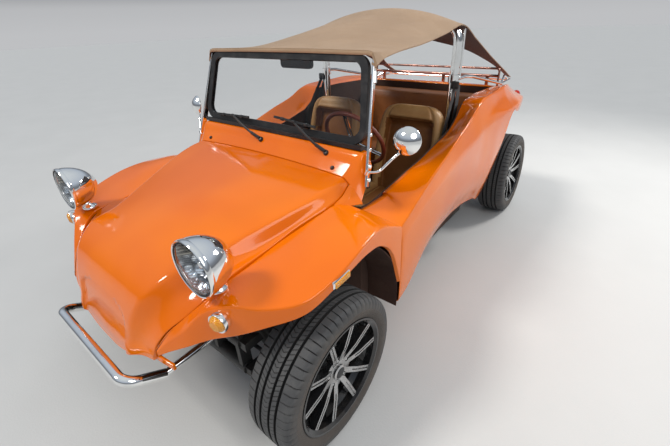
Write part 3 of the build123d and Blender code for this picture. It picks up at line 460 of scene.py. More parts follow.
def canvas(surface, deep, light):
    """Woven cloth with slubs, stains and soft creases."""
    threads = weave(surface, 0.0022)
    stains = surface.noise(3.2, 5.0, 0.6).step(0.3, 0.75)
    slubs = surface.noise(60.0, 3.0, 0.6, surface.stretched((1.0, 14.0, 1.0), "UV"))
    base = surface.mix(stains, deep, light)
    base = surface.mix(slubs * 0.35 + threads * 0.2, base, tuple(c * 1.18 for c in light))
    creases = surface.bump(surface.noise(7.0, 4.0, 0.55), 0.009)
    cloth = surface.bump(threads * 0.8 + slubs * 0.5, 0.0008, creases)
    return surface.done(Base_Color=base, Roughness=surface.noise(25.0) * 0.15 + 0.78, Normal=cloth,
                        Sheen_Weight=0.15, Sheen_Roughness=0.5)


def stitch_thread(surface):
    twist = (surface.axis(0, "UV") * 400.0 + surface.axis(1, "UV") * 260.0).wave()
    base = surface.mix(twist, (0.30, 0.20, 0.12), (0.62, 0.47, 0.33))
    return surface.done(Base_Color=base, Roughness=twist * 0.1 + 0.7, Normal=surface.bump(twist, 0.0004))


def leather(surface, deep, light, worn):
    """Grained hide, lighter where it is rubbed."""
    pores = surface.cells(420.0)
    folds = surface.noise(46.0, 5.0, 0.62)
    rubbed = surface.noise(6.5, 4.0, 0.6).step(0.45, 0.75)
    base = surface.mix(folds, deep, light)
    base = surface.mix(rubbed * 0.5, base, worn)
    grain = surface.bump(pores, 0.0004, surface.bump(folds, 0.0012))
    return surface.done(Base_Color=base, Roughness=folds * 0.18 + rubbed * 0.12 + 0.34, Normal=grain,
                        Coat_Weight=0.08, Coat_Roughness=0.3)


def chrome_trim(surface):
    haze = surface.noise(11.0, 5.0, 0.65).step(0.45, 0.85)
    base = surface.mix(haze, (0.90, 0.90, 0.89), (0.74, 0.73, 0.71))
    scratches = surface.noise(220.0, 2.0, 0.6, surface.stretched((1.0, 0.15, 0.4)))
    return surface.done(Base_Color=base, Metallic=1.0, Roughness=haze * 0.10 + scratches * 0.03 + 0.035,
                        Normal=surface.bump(scratches, 0.00004))


def rough_metal(surface, deep, light, roughness, grain):
    lumps = surface.noise(grain, 4.0, 0.6)
    grime = surface.noise(8.0, 5.0, 0.65).step(0.4, 0.7)
    base = surface.mix(lumps, deep, light)
    base = surface.mix(grime * 0.6, base, (0.045, 0.036, 0.028))
    return surface.done(Base_Color=base, Metallic=1.0 - grime * 0.7, Roughness=grime * 0.25 + roughness,
                        Normal=surface.bump(lumps, 0.0006))


def painted(surface, deep, light, roughness, grain=240.0):
    """Satin paint with a fine grain and dust."""
    lumps = surface.noise(grain, 3.0)
    dust = surface.noise(12.0, 5.0, 0.65).step(0.45, 0.8)
    base = surface.mix(lumps, deep, light)
    base = surface.mix(dust * 0.35, base, (0.16, 0.13, 0.10))
    return surface.done(Base_Color=base, Roughness=dust * 0.2 + lumps * 0.08 + roughness,
                        Normal=surface.bump(lumps, 0.0003))


def tub_lining(surface):
    loops = surface.cells(260.0)
    base = surface.mix(surface.noise(5.0, 4.0), (0.030, 0.014, 0.010), (0.075, 0.035, 0.022))
    base = surface.mix(loops * 0.5, base, (0.11, 0.055, 0.035))
    return surface.done(Base_Color=base, Roughness=loops * 0.1 + 0.84, Normal=surface.bump(loops, 0.002))


def rubber_seal(surface):
    lumps = surface.noise(180.0, 3.0)
    chalk = surface.noise(16.0, 4.0, 0.6).step(0.45, 0.8)
    base = surface.mix(chalk, (0.010, 0.010, 0.011), (0.038, 0.037, 0.036))
    return surface.done(Base_Color=base, Roughness=chalk * 0.2 + 0.42, Normal=surface.bump(lumps, 0.0003))


def glass_gloss(surface):
    """How much a pane reflects, the same from either side."""
    weight = surface.node("ShaderNodeLayerWeight", None, {"Blend": 0.5})
    return Number(surface, weight.outputs["Facing"]).math("POWER", 5.0) * 0.96 + 0.04


def clear_glass(surface):
    """Glass as a mirror that is only as solid as glass reflects, with a faint smear."""
    smear = surface.noise(5.0, 5.0, 0.65).step(0.45, 0.8)
    base = surface.mix(smear, (0.70, 0.80, 0.84), (0.78, 0.84, 0.86))
    return surface.done(Base_Color=base, Metallic=1.0, Roughness=smear * 0.06 + 0.01,
                        Alpha=glass_gloss(surface) * 0.8 + smear * 0.012)


def mirror_glass(surface):
    haze = surface.noise(20.0, 4.0)
    base = surface.mix(haze, (0.80, 0.82, 0.83), (0.88, 0.89, 0.90))
    return surface.done(Base_Color=base, Metallic=1.0, Roughness=haze * 0.03 + 0.01)


def lamp_glass(surface):
    """Clear above and fluted in its lower part."""
    low = 1.0 - surface.axis(2).step(0.860, 0.884)
    flutes = (surface.axis(0) * 105.0).wave() * low
    haze = surface.noise(30.0, 4.0)
    base = surface.mix(haze, (0.78, 0.84, 0.88), (0.90, 0.93, 0.95))
    return surface.done(Base_Color=base, Metallic=1.0, Roughness=haze * 0.04 + 0.01,
                        Alpha=glass_gloss(surface) * 0.8 + flutes * 0.14 + low * 0.02,
                        Normal=surface.bump(flutes, 0.0022))


def reflector_facets(surface):
    """Painted reflections on a metal dish: greyish-brown bands above as a painted reflection of the
    ground, and light panes with dark edges below as a painted reflection of the sky.
    """
    above = surface.axis(2).step(0.872, 0.890)
    bands = (surface.axis(2) * 70.0).wave().step(0.3, 0.7)
    panes = surface.cells(34.0)
    # painted reflection: the banded greyish-brown upper half stands for the ground, the light blue-white
    # panes of the lower half for the sky
    dark = surface.mix(bands, (0.10, 0.09, 0.075), (0.30, 0.28, 0.24))
    painted_sky_reflection = surface.mix(panes.step(0.30, 0.62), (0.80, 0.86, 0.92), (0.12, 0.13, 0.15))
    base = surface.mix(above, painted_sky_reflection, dark)
    return surface.done(Base_Color=base, Metallic=1.0, Roughness=panes * 0.10 + 0.12,
                        Normal=surface.bump(bands * 0.4 + panes, 0.005))


def lens(surface, deep, light):
    ribs = (surface.axis(2) * 240.0).wave()
    base = surface.mix(ribs, deep, light)
    return surface.done(Base_Color=base, Roughness=ribs * 0.08 + 0.10, Normal=surface.bump(ribs, 0.0012),
                        Coat_Weight=0.8, Coat_Roughness=0.04, Subsurface_Weight=0.3,
                        Subsurface_Radius=(0.02, 0.008, 0.002), Subsurface_Scale=0.5)


def belt_web(surface):
    ribs = (surface.axis(2) * 420.0 + surface.axis(0) * 420.0).wave()
    base = surface.mix(ribs, (0.012, 0.012, 0.013), (0.03, 0.03, 0.031))
    return surface.done(Base_Color=base, Roughness=ribs * 0.15 + 0.55, Normal=surface.bump(ribs, 0.0006))


# Length of the tyre's profile from its bead to its middle, in metres
tyre_middle = 0.2153


def tyre_rubber(surface):
    """Grey rubber; the UV map's u runs across the profile, from bead to bead."""
    around, across = surface.axis(1, "UV"), surface.axis(0, "UV")
    grain = surface.noise(240.0, 3.0)
    edge = abs(across - tyre_middle)
    wall = edge.step(0.125, 0.150)
    band = edge.step(0.158, 0.164) * (1.0 - edge.step(0.196, 0.203))
    dust = surface.noise(12.0, 5.0, 0.65).step(0.35, 0.75)
    base = surface.mix(dust, (0.052, 0.052, 0.054), (0.092, 0.090, 0.088))
    base = surface.mix(wall * (dust * 0.35 + 0.15), base, (0.10, 0.082, 0.066))
    base = surface.mix(band * 0.30, base, (0.17, 0.125, 0.09))
    ribs = (around * 300.0).wave() * band
    crown = 1.0 - edge.step(0.082, 0.086)
    sipes = (around * 58.0 + edge * 30.0).wave().step(0.88, 0.97) * crown
    height = ribs * 0.4 - sipes + grain * 0.12
    # the sipes are painted near black as well as cut into the bump: painted shade in the cuts
    return surface.done(Base_Color=surface.mix(sipes * 0.85, base, (0.006, 0.006, 0.006)),
                        Roughness=grain * 0.15 + dust * 0.1 + 0.55, Normal=surface.bump(height, 0.003))


def hypot_of(first, second):
    return (first * first + second * second).math("SQRT")


def wheel_metal(surface, hub):
    """Machined spoke faces and lip, with black paint in the pockets."""
    facing = abs(surface.axis(0, "Normal")).step(0.72, 0.86)
    away = hypot_of(surface.axis(1) - hub[1] * MM, surface.axis(2) - hub[2] * MM)
    shown = facing * (1.0 - away.step(0.2105, 0.2120))
    rings = (away * 900.0).wave()
    grime = surface.noise(14.0, 5.0, 0.65).step(0.45, 0.8) * 0.6
    silver = surface.mix(rings, (0.50, 0.50, 0.50), (0.64, 0.64, 0.64))
    silver = surface.mix(grime, silver, (0.30, 0.27, 0.24))
    black = surface.mix(grime, (0.011, 0.011, 0.012), (0.05, 0.042, 0.034))
    return surface.done(Base_Color=surface.mix(shown, black, silver), Metallic=shown * 0.95,
                        Roughness=grime * 0.2 + shown * 0.08 + 0.18,
                        Normal=surface.bump(rings * shown, 0.00008), Coat_Weight=0.3)


def grained(surface, deep, light, roughness, scale, detail=2.0):
    """An even surface with a fine grain."""
    grain = surface.noise(scale, detail)
    return surface.done(Base_Color=surface.mix(grain, deep, light), Roughness=grain * 0.1 + roughness)


def studio_floor(surface):
    blotch = surface.noise(1.6, 5.0, 0.6)
    base = surface.mix(blotch, (0.56, 0.555, 0.54), (0.63, 0.625, 0.61))
    return surface.done(Base_Color=base, Roughness=blotch * 0.15 + 0.55,
                        Normal=surface.bump(surface.noise(120.0, 3.0), 0.0006))


# Every finish: the function that makes it, and the values that the function takes
finishes = {made.__name__: (made,) for made in (
    arch_undercoat, fibre_back, stitch_thread, chrome_trim, tub_lining, rubber_seal, clear_glass,
    mirror_glass, lamp_glass, reflector_facets, belt_web, tyre_rubber, studio_floor)}
finishes.update({
    "orange_gloss": (gel_coat, (0.80, 0.150, 0.0), (0.88, 0.185, 0.0)),
    "tan_canvas": (canvas, (0.31, 0.195, 0.110), (0.41, 0.265, 0.155)),
    # the canvas's underside, painted dark red-brown: painted shade under the top
    "canvas_lining": (canvas, (0.060, 0.020, 0.014), (0.11, 0.038, 0.026)),
    "tan_leather": (leather, (0.17, 0.058, 0.012), (0.25, 0.092, 0.020), (0.33, 0.14, 0.040)),
    "brown_leather": (leather, (0.24, 0.078, 0.020), (0.33, 0.112, 0.030), (0.40, 0.16, 0.052)),
    "bolster_leather": (leather, (0.42, 0.215, 0.075), (0.52, 0.285, 0.105), (0.62, 0.39, 0.17)),
    "rim_leather": (leather, (0.13, 0.022, 0.010), (0.20, 0.040, 0.016), (0.27, 0.075, 0.035)),
    "gearbox_metal": (rough_metal, (0.28, 0.28, 0.27), (0.42, 0.41, 0.39), 0.42, 150.0),
    "engine_metal": (rough_metal, (0.20, 0.20, 0.20), (0.36, 0.35, 0.33), 0.38, 110.0),
    "rack_metal": (rough_metal, (0.30, 0.15, 0.12), (0.44, 0.25, 0.20), 0.22, 120.0),
    "exhaust_metal": (rough_metal, (0.19, 0.12, 0.08), (0.40, 0.32, 0.26), 0.45, 70.0),
    "frame_paint": (painted, (0.018, 0.018, 0.018), (0.035, 0.034, 0.033), 0.42),
    "black_parts": (painted, (0.012, 0.012, 0.013), (0.026, 0.026, 0.027), 0.34),
    "dash_vinyl": (painted, (0.016, 0.013, 0.012), (0.034, 0.028, 0.025), 0.48, 600.0),
    "amber_lens": (lens, (0.78, 0.25, 0.0), (0.95, 0.42, 0.002)),
    "red_lens": (lens, (0.35, 0.006, 0.004), (0.62, 0.02, 0.012)),
    "front_wheel_metal": (wheel_metal, front_hub),
    "rear_wheel_metal": (wheel_metal, rear_hub),
    # near-black rubber for the tyre's grooves and shoulder notches: painted shade in those cuts
    "tyre_groove": (grained, (0.004, 0.004, 0.004), (0.014, 0.013, 0.012), 0.85, 90.0, 4.0),
    "dial_face": (grained, (0.010, 0.010, 0.011), (0.022, 0.022, 0.024), 0.35, 300.0),
    "dial_marks": (grained, (0.70, 0.70, 0.66), (0.82, 0.82, 0.78), 0.5, 120.0),
})


def finish(name):
    """The finish of that name, built once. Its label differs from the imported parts' plain materials."""
    label = f"{name}_finish"
    made = bpy.data.materials.get(label)
    if not made:
        function, *values = finishes[name]
        made = function(Surface(bpy.data.materials.new(label)), *values)
    return made


# CAD nodes that keep their own meshes, by finish
kept_nodes = {
    "chrome_trim": ("windshield_posts", "roll_bar", "soft_top_frame", "front_bumper", "rear_bumper"),
    "rack_metal": ("luggage_rack",),
    "rubber_seal": ("windshield_frame",),
    "clear_glass": ("windshield_glass",),
    "red_lens": ("tail_lamps",),
    "black_parts": ("interior_mirror", "driver_controls"),
    "dash_vinyl": ("dashboard",),
    "tub_lining": ("cockpit_tub",),
    "frame_paint": ("floor_pan", "front_axle_beam", "front_suspension", "rear_suspension",
                    "steering_column", "track_rod", "knuckle_left", "knuckle_right"),
    "gearbox_metal": ("transaxle",),
    "engine_metal": ("engine",),
    "exhaust_metal": ("exhaust",),
    "front_wheel_metal": ("rim_front_left", "rim_front_right"),
    "rear_wheel_metal": ("rim_rear_left", "rim_rear_right"),
}


def paint_kept_nodes(nodes):
    """Give each kept CAD node its finish."""
    for name, members in kept_nodes.items():
        for member in members:
            mesh = nodes[member].data
            mesh.materials.clear()
            mesh.materials.append(finish(name))


# Body mouldings

# Hood columns: plane y, plane z, tilt, centre, ridge x, ridge, flute x, flute, edge x, edge.
# The heights lie in the tilted plane, from its own origin.
hood_table = [
    (-803, 0, 0, 934, 505, 917, 520, 905, 532, 893),
    (-850, 0, 0, 926, 511, 910, 530, 890, 541, 872),
    (-940, 0, 0, 910, 499, 894, 522, 866, 540, 852),
    (-1068, 0, 0, 885, 463, 864, 484, 820, 497, 812),
    (-1240, 0, 0, 852, 400, 824, 436, 768, 468, 768),
    (-1400, 0, 0, 814, 340, 789, 400, 745, 470, 755),
    (-1400, 560, 27, 241, 318, 240, 386, 183, 455, 177),
    (-1400, 560, 50, 250, 276, 251, 342, 198, 424, 176),
    (-1400, 560, 75, 255, 232, 253, 300, 216, 371, 210),
    (-1400, 548, 90, 268, 215, 266, 272, 240, 341, 239),
    (-1400, 495, 90, 283, 210, 277, 268, 250, 336, 244),
    (-1400, 440, 90, 290, 212, 285, 264, 260, 328, 246),
]
# Rows made in each span between the hood's columns
hood_steps = [4, 6, 8, 10, 10, 6, 8, 12, 14, 10, 10]
# The nose, in metres: where its face starts; the plate's arched recess, which is open below; and the
# lower edge, which rises between two half widths and fades out between two heights
nose_start = -1.6
recess_half_width, arch_start, arch_height = 0.190, 0.575, 0.075
edge_rise, edge_widths, edge_heights = 0.062, (0.06, 0.30), (0.440, 0.560)
# Front fender, left: seam x, y, z; crease x, y, z; lower edge z; how far the lower edge stands out
fender_table = [
    (345, -1630, 562, 358, -1637, 555, 536, 2),
    (378, -1592, 622, 397, -1608, 603, 563, 8),
    (420, -1545, 672, 446, -1576, 648, 590, 12),
    (474, -1446, 742, 530, -1512, 742, 626, 10),
    (474, -1400, 753, 606, -1478, 768, 656, 6),
    (474, -1340, 757, 678, -1424, 757, 684, 4),
    (472, -1250, 766, 762, -1330, 763, 716, 3),
    (474, -1180, 778, 786, -1215, 788, 750, 1),
    (503, -1066, 810, 784, -1110, 806, 764, 0),
    (536, -975, 842, 770, -1000, 812, 754, 0),
    (547, -925, 853, 757, -905, 806, 726, 0),
    (575, -868, 838, 750, -800, 762, 640, 3),
    (602, -815, 798, 744, -707, 712, 420, 8),
]
# Side, left. Columns: y, rim x, z, crest x, z, crease x, z, belly x, z, low x, z
side_table = [
    (-700, 601, 786, 741, 716, 748, 650, 750, 520, 750, 300),
    (-587, 600, 799, 738, 765, 747, 690, 746, 510, 741, 316),
    (-471, 600, 812, 734, 811, 746, 730, 742, 510, 728, 362),
    (-367, 600, 828, 730, 849, 745, 760, 739, 525, 716, 396),
    (-244, 600, 841, 724, 884, 742, 790, 735, 545, 706, 425),
    (-42, 600, 878, 713, 947, 738, 830, 731, 560, 700, 446),
    (150, 600, 922, 701, 1003, 735, 862, 728, 560, 698, 438),
    (226, 600, 969, 698, 1038, 735, 884, 727, 555, 697, 426),
    (300, 600, 1040, 694, 1059, 735, 907, 727, 547, 696, 410),
    (430, 596, 1052, 690, 1068, 743, 934, 730, 535, 693, 378),
    (560, 590, 1055, 684, 1067, 752, 942, 737, 520, 690, 336),
    (660, 585, 1052, 680, 1068, 757, 938, 742, 620, 712, 470),
    (735, 580, 1049, 676, 1070, 760, 932, 756, 830, 753, 762),
    (775, 578, 1048, 674, 1070, 760, 931, 760, 890, 758, 866),
    (1005, 566, 1034, 641, 1052, 748, 928, 750, 894, 748, 872),
    (1129, 556, 1008, 612, 1030, 731, 925, 733, 892, 731, 870),
    (1305, 545, 975, 575, 998, 700, 918, 702, 886, 700, 866),
    (1440, 540, 948, 552, 970, 674, 902, 676, 874, 674, 856),
    (1557, 534, 920, 540, 936, 645, 880, 647, 862, 646, 848),
]
# The x of the rim's inner lip along y
lip_table = [(-700, 577), (329, 577), (330, 572), (620, 547), (1006, 542), (1009, 560), (1557, 531)]
# Depth of the shallow channel under the crest, and rounding of the crease below it
channel_table = [(330, 0), (620, 8), (1557, 6)]
crease_reach_table = [(-700, 70), (430, 60), (640, 14), (1557, 12)]
# First row of the side, in the slanted plane of the fender's joint: x, y, z
side_joint = [(577, -833, 782), (602, -814.5, 796), (741, -709, 711), (743, -707, 681), (745, -705, 650),
              (747, -702, 520), (749, -702, 300), (721, -702, 277), (578, -702, 262)]
# Where the sill below the cockpit ends, and the x and z of its inner edge
sill_end_y = 300.0
sill_inner = (578.0, 262.0)
# Cowl columns: y, pillar x, z, shoulder x, z, inner x, z, centre z
cowl_table = [
    (-797, 596, 826, 536, 897, 507, 920, 937),
    (-760, 589, 867, 548, 945, 520, 962, 975),
    (-722, 582, 908, 554, 1000, 535, 1008, 1012),
    (-690, 577, 944, 557, 1004, 537, 1010, 1014),
]
# Cheek beside the hood's corner: y, inner x, z, outer x, z
cheek_table = [
    (-922, 549, 852, 557, 849),
    (-868, 549, 866, 584, 836),
    (-797, 538, 896, 604, 822),
]
# Rear deck columns: plane y, plane z, tilt, centre, edge x, edge
deck_table = [
    (1040, 978, 90, 34, 536, 34),
    (1040, 1004, 90, 34, 538, 34),
    (1040, 1004, 45, 38, 556, 34),
    (1040, 0, 0, 1034, 558.6, 1028),
    (1129, 0, 0, 1012, 553.7, 1006),
    (1305, 0, 0, 980, 544.3, 973),
    (1440, 0, 0, 952, 537.1, 946),
    (1540, 0, 0, 928, 531.7, 922),
    (1540, 850, -45, 74, 530, 68),
    (1540, 850, -90, 66, 520, 60),
    (1540, 780, -90, 58, 505, 52),
]


def tilted(y, z, tilt, across, height):
    """A point of a tilted cross plane."""
    angle = radians(tilt)
    return spot(across, y - sin(angle) * height, z + cos(angle) * height)


def across_row(half):
    """A row from the right edge to the left one, from its left half that starts on the middle line."""
    return [turned(p, -1) for p in half[:0:-1]] + half


def shape_nose(point, recess_depth):
    """Move a point of the nose back into the plate's recess, and up where the lower edge rises."""
    share = abs(point.x) / recess_half_width
    above = max(0.0, (point.z - arch_start) / arch_height)
    reach = (share ** 3 + above ** 3) ** (1 / 3)
    point.y += recess_depth * (1 - soft_step(reach, 0.955, 1.015))
    low = 1 - soft_step(point.z, *edge_heights)
    point.z += edge_rise * soft_step(abs(point.x), *edge_widths) * low


def hood_skin(settings):
    """The hood, with its flutes, its softened nose and the plate's recess."""
    rows = []
    reaches = [4, 5, settings.flute_reach, settings.ridge_reach] + [200] * 4
    for y, z, tilt, centre, ridge_x, ridge, flute_x, flute, edge_x, edge in hood_table:
        half = []
        for k in range(5):
            share = k / 5
            half.append((ridge_x * share, centre - (centre - ridge) * share ** 2.1))
        half += [(ridge_x, ridge), (flute_x, flute), (edge_x, edge), (edge_x + 1, edge - settings.flange)]
        row = across_row([tilted(y, z, tilt, a, b) for a, b in half])
        rows.append(rounded(row, reaches + [200] + reaches[::-1], run=6))
    rows = smooth_rows(rows, hood_steps)
    for row in rows:
        for point in row:
            if point.y < nose_start:
                shape_nose(point, settings.plate_depth * MM)
    rows.insert(0, [p + spot(0, 1, -settings.flange) for p in rows[0]])
    rows.append([p + spot(0, settings.flange, -2) for p in rows[-1]])
    piece = Form().rows(rows).build("hood_skin", BODY, "orange_gloss", thickness=settings.wall,
                                    inside=spot(0, -1200, 500), under="fibre_back")
    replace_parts(piece, "hood")


def fender_skin(name, side, settings):
    """A front fender, and the dark strip below its seam to the hood."""
    rows = []
    for sx, sy, sz, cx, cy, cz, low_z, out in fender_table:
        run = hypot(cx - sx, cy - sy)
        ax, ay = (cx - sx) / run, (cy - sy) / run
        crown = 10.0 * min(1.0, run / 200.0)
        section = [(5, sz - settings.flange), (5, sz), (run * 0.5, (sz + cz) / 2 + crown), (run, cz),
                   (run + out, low_z), (run + out - settings.flange, low_z - 3)]
        row = [spot((sx + ax * a) * side, sy + ay * a, b) for a, b in section]
        rows.append(rounded(row, [0, 4, 200, settings.crease_reach, 5, 0], arc=6, run=5))
    rows = smooth_rows(rows, 7)
    piece = Form().rows(rows).build(f"front_fender_skin_{name}", BODY, "orange_gloss",
                                    thickness=settings.wall, inside=spot(460 * side, -1250, 450),
                                    under="arch_undercoat")
    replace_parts(piece, f"front_fender_{name}")
    # dark strip that closes the seam to the hood from below
    path = [spot(row[0] * side, row[1] + 12, row[2] - 15) for row in fender_table]
    strip = Form()
    strap(strip, smooth_path(path, 6), LEFT, width=46, thickness=3)
    strip.build(f"hood_seam_strip_{name}", BODY, "fibre_back")


def bumper_brackets():
    """Painted bars from the body's lower corners that carry the ends of the front bumper."""
    form = Form()
    for _, side in SIDES:
        way = Vector((side, 0.13, 0)).normalized()
        form.block(spot(352 * side, -1628, 506), (128, 10, 26), (way, UP.cross(way), UP), soft=2)
    form.build("bumper_brackets", BODY, "orange_gloss")


def side_skin(name, side, settings):
    """Side panel and rear fender in one, with the cockpit's cut and the rear arch."""
    crest = settings.crest_reach
    rows = [rounded(spots(side_joint, side), [0, 8, crest, 30, 70, 90, 10, 6, 0], arc=5, run=4)]
    for y, *places in side_table:
        rim_x, rim_z, crest_x, crest_z, crease_x, crease_z, belly_x, belly_z, low_x, low_z = places
        channel = between(channel_table, y)
        middle = ((crest_x + crease_x) / 2 - channel, (crest_z + crease_z) / 2 - channel * 0.6)
        section = [(between(lip_table, y), rim_z - 10), (rim_x, rim_z), (crest_x, crest_z), middle,
                   (crease_x, crease_z), (belly_x, belly_z), (low_x, low_z)]
        if y <= sill_end_y:
            section += [(low_x - 28, low_z - 24), sill_inner]
        else:
            section += [(low_x - 9, low_z - 1), (low_x - 12, low_z + 9)]
        reaches = [0, 8, crest, 40, between(crease_reach_table, y), 90, 10, 6, 0]
        rows.append(rounded([spot(x * side, y, z) for x, z in section], reaches, arc=5, run=4))
    rows = smooth_rows(rows, 6)
    piece = Form().rows(rows).build(f"side_skin_{name}", BODY, "orange_gloss", thickness=settings.wall,
                                    inside=spot(0, 300, 550), under="fibre_back")
    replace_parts(piece, f"side_panel_{name}", f"rear_fender_{name}")


def front_arch_liner(name, side):
    """Dirty wall behind the front wheel, curved about its hub."""
    low, high, radius = 264, 690, 497.0
    inner, outer, narrowing_start = 578, 738, 600
    rows = []
    for k in range(25):
        z = low + (high - low) * k / 24
        y = front_hub[1] + (radius ** 2 - (z - front_hub[2]) ** 2) ** 0.5
        edge = outer - max(0, z - narrowing_start) * 0.12
        rows.append([spot(x * side, y, z) for x in (inner, inner + (edge - inner) / 2, edge)])
    Form().rows(rows).build(f"front_arch_liner_{name}", BODY, "arch_undercoat", thickness=4.0,
                            inside=spot(650 * side, 0, 450))


def cowl_skin(settings):
    """The cowl below the windshield, with the cheeks beside the hood's corners."""
    rows = []
    for y, pillar_x, pillar_z, shoulder_x, shoulder_z, inner_x, inner_z, centre in cowl_table:
        half = [(0, centre), (inner_x * 0.35, centre - (centre - inner_z) * 0.12),
                (inner_x * 0.7, centre - (centre - inner_z) * 0.5), (inner_x, inner_z),
                (shoulder_x, shoulder_z), (pillar_x, pillar_z)]
        row = across_row([spot(x, y, z) for x, z in half])
        rows.append(rounded(row, [0, 30, 34] + [200] * 5 + [34, 30, 0], arc=5, run=4))
    rows = smooth_rows(rows, 8)
    rows.insert(0, [p + spot(0, 1, -settings.flange) for p in rows[0]])
    form = Form().rows(rows)
    for _, side in SIDES:
        cheek = [[spot(ax * side, y, az), spot((ax + bx) / 2 * side, y, (az + bz) / 2 + 4),
                  spot(bx * side, y, bz)] for y, ax, az, bx, bz in cheek_table]
        form.rows(smooth_rows([rounded(row, 60) for row in cheek], 6))
    piece = form.build("cowl_skin", BODY, "orange_gloss", thickness=settings.wall,
                       inside=spot(0, -700, 600), under="fibre_back")
    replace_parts(piece, "cowl")


def rear_deck_skin(settings):
    """The rear deck, rolled down at its front and at its tail."""
    rows = []
    for y, z, tilt, centre, edge_x, edge in deck_table:
        half = [(0, centre), (edge_x * 0.45, centre - 0.8), (edge_x * 0.85, centre - 2.5), (edge_x, edge),
                (edge_x + 1, edge - settings.flange)]
        row = across_row([tilted(y, z, tilt, a, b) for a, b in half])
        rows.append(rounded(row, [0, 8] + [120] * 5 + [8, 0], arc=4, run=6))
    rows = smooth_rows(rows, [3, 5, 5, 6, 8, 6, 6, 6, 6, 4])
    rows.append([p + spot(0, -settings.flange, -1) for p in rows[-1]])
    piece = Form().rows(rows).build("rear_deck_skin", BODY, "orange_gloss", thickness=settings.wall,
                                    inside=spot(0, 1250, 600), under="fibre_back")
    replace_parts(piece, "rear_deck")


# Soft top

# Roof columns: y, half width, edge z, crown. Tail columns: y, inner x, outer x.
roof_table = [
    (-620, 547, 1379, 5),
    (-540, 531, 1372, 14),
    (-440, 519, 1366, 28),
    (-137, 511, 1381, 74),
    (120, 506, 1412, 96),
    (332, 512, 1446, 100),
]
tail_table = [
    (560, 0, 519),
    (760, 40, 525),
    (900, 320, 530),
    (1060, 440, 535),
    (1240, 495, 542),
    (1430, 515, 550),
]
# How far the tail's edge falls in each millimetre of its length, and the crown at its end
tail_drop = 0.3646
tail_end_crown = 56.0
# The canvas is pulled down over the round corners of the windshield's header, and folds over its front
header_corner = 64.0
corner_drop = [(-620, 52), (-540, 24), (-440, 8), (-137, 0)]
front_flap = [(-4, -15), (-6, -11), (-5, -5)]
# Heights of the hems and of their stitches above the canvas
hem_lift, thread_lift = 1.6, 1.9


def canvas_point(x, y, half_width, edge_z, crown, settings):
    """A point of the canvas, with the slack that gathers towards the edges."""
    share = min(1.0, abs(x) / half_width)
    height = edge_z + crown * (1 - share ** 2)
    slack = sin(y * 0.031 + share * 5.0) * share ** 3 + 0.6 * sin(y * 0.047 - share * 9.0) * share ** 2
    return spot(x, y, height - settings.wrinkle * (slack * 0.5 + 0.5))


def canvas_rows(side, settings):
    """Rows of one half of the canvas, from the middle line or the tail's inner edge outwards."""
    columns = 22
    stations = [(y, 0.0, half, edge_z, crown) for y, half, edge_z, crown in roof_table]
    first_y, last_y = roof_table[-1][0], tail_table[-1][0]
    edge_start, crown_start = roof_table[-1][2:]
    for y, inner_x, outer_x in tail_table:
        part_way = (y - first_y) / (last_y - first_y)
        crown = crown_start + (tail_end_crown - crown_start) * part_way
        stations.append((y, inner_x, outer_x, edge_start - (y - first_y) * tail_drop, crown))
    rows = []
    for y, inner_x, outer_x, edge_z, crown in stations:
        row = []
        for k in range(columns + 1):
            x = inner_x + (outer_x - inner_x) * (k / columns) ** 0.85
            row.append(canvas_point(x * side, y, outer_x, edge_z, crown, settings))
        drop = between(corner_drop, y)
        for p in row:
            over = max(0.0, abs(p.x) / MM - outer_x + header_corner) / header_corner
            p.z -= drop * MM * (1 - (1 - min(1.0, over) ** 3) ** (1 / 3))
        rows.append(row)
    flap = [[p + spot(0, y, z) for p in rows[0]] for y, z in front_flap]
    return flap + smooth_rows(rows, 9)


def hem(form, rows):
    """A narrow folded strip over a band of the canvas."""
    raised = []
    for j, row in enumerate(rows):
        following, previous = rows[min(j + 1, len(rows) - 1)], rows[max(j - 1, 0)]
        line = []
        for i, p in enumerate(row):
            across = row[min(i + 1, len(row) - 1)] - row[max(i - 1, 0)]
            normal = across.cross(following[i] - previous[i])
            normal = normal.normalized() if normal.length > 1e-12 else UP
            line.append(p + normal * (hem_lift * MM if normal.z > 0 else -hem_lift * MM))
        raised.append(line)
    form.rows(raised)


def hem_stitches(form, edge, inner, settings):
    """Two seams along a hem, between its two edges."""
    for share in (0.2, 0.8):
        path = [a.lerp(b, share) + spot(0, 0, thread_lift) for a, b in zip(edge, inner)]
        stitches(form, path, settings.stitch)


def soft_top_canvas(settings):
    """The canvas top, its folded hems and their stitches."""
    form, hems, thread = Form(), Form(), Form()
    width = settings.hem_width * MM
    tail_start = 0.56
    for _, side in SIDES:
        rows = canvas_rows(side, settings)
        form.rows(rows)
        start, later = rows[len(front_flap)], rows[len(front_flap) + 3]
        front = [[p + (q - p).normalized() * width * k / 3 for p, q in zip(start, later)]
                 for k in range(4)]
        hem(hems, front)
        tail_rows = [row for row in rows if row[0].y > tail_start]
        for edge, inward, source in ((-1, -4, rows), (0, 4, tail_rows)):
            strip = [[row[edge] + (row[edge + inward] - row[edge]).normalized() * width * k / 3
                      for k in range(4)] for row in source]
            hem(hems, strip)
            hem_stitches(thread, [row[0] for row in strip], [row[-1] for row in strip], settings)
        hem_stitches(thread, front[0], front[-1], settings)
    # the canvas's underside gets the dark red-brown finish, which is painted shade
    sheet = form.build("canvas_top", BODY, "tan_canvas", thickness=settings.cloth, merge=True,
                       inside=spot(0, 300, 700), under="canvas_lining")
    band = hems.build("canvas_hems", BODY, "tan_canvas", thickness=1.2, inside=spot(0, 300, 700))
    seams = thread.build("canvas_stitches", BODY, "stitch_thread")
    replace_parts(sheet, "soft_top")


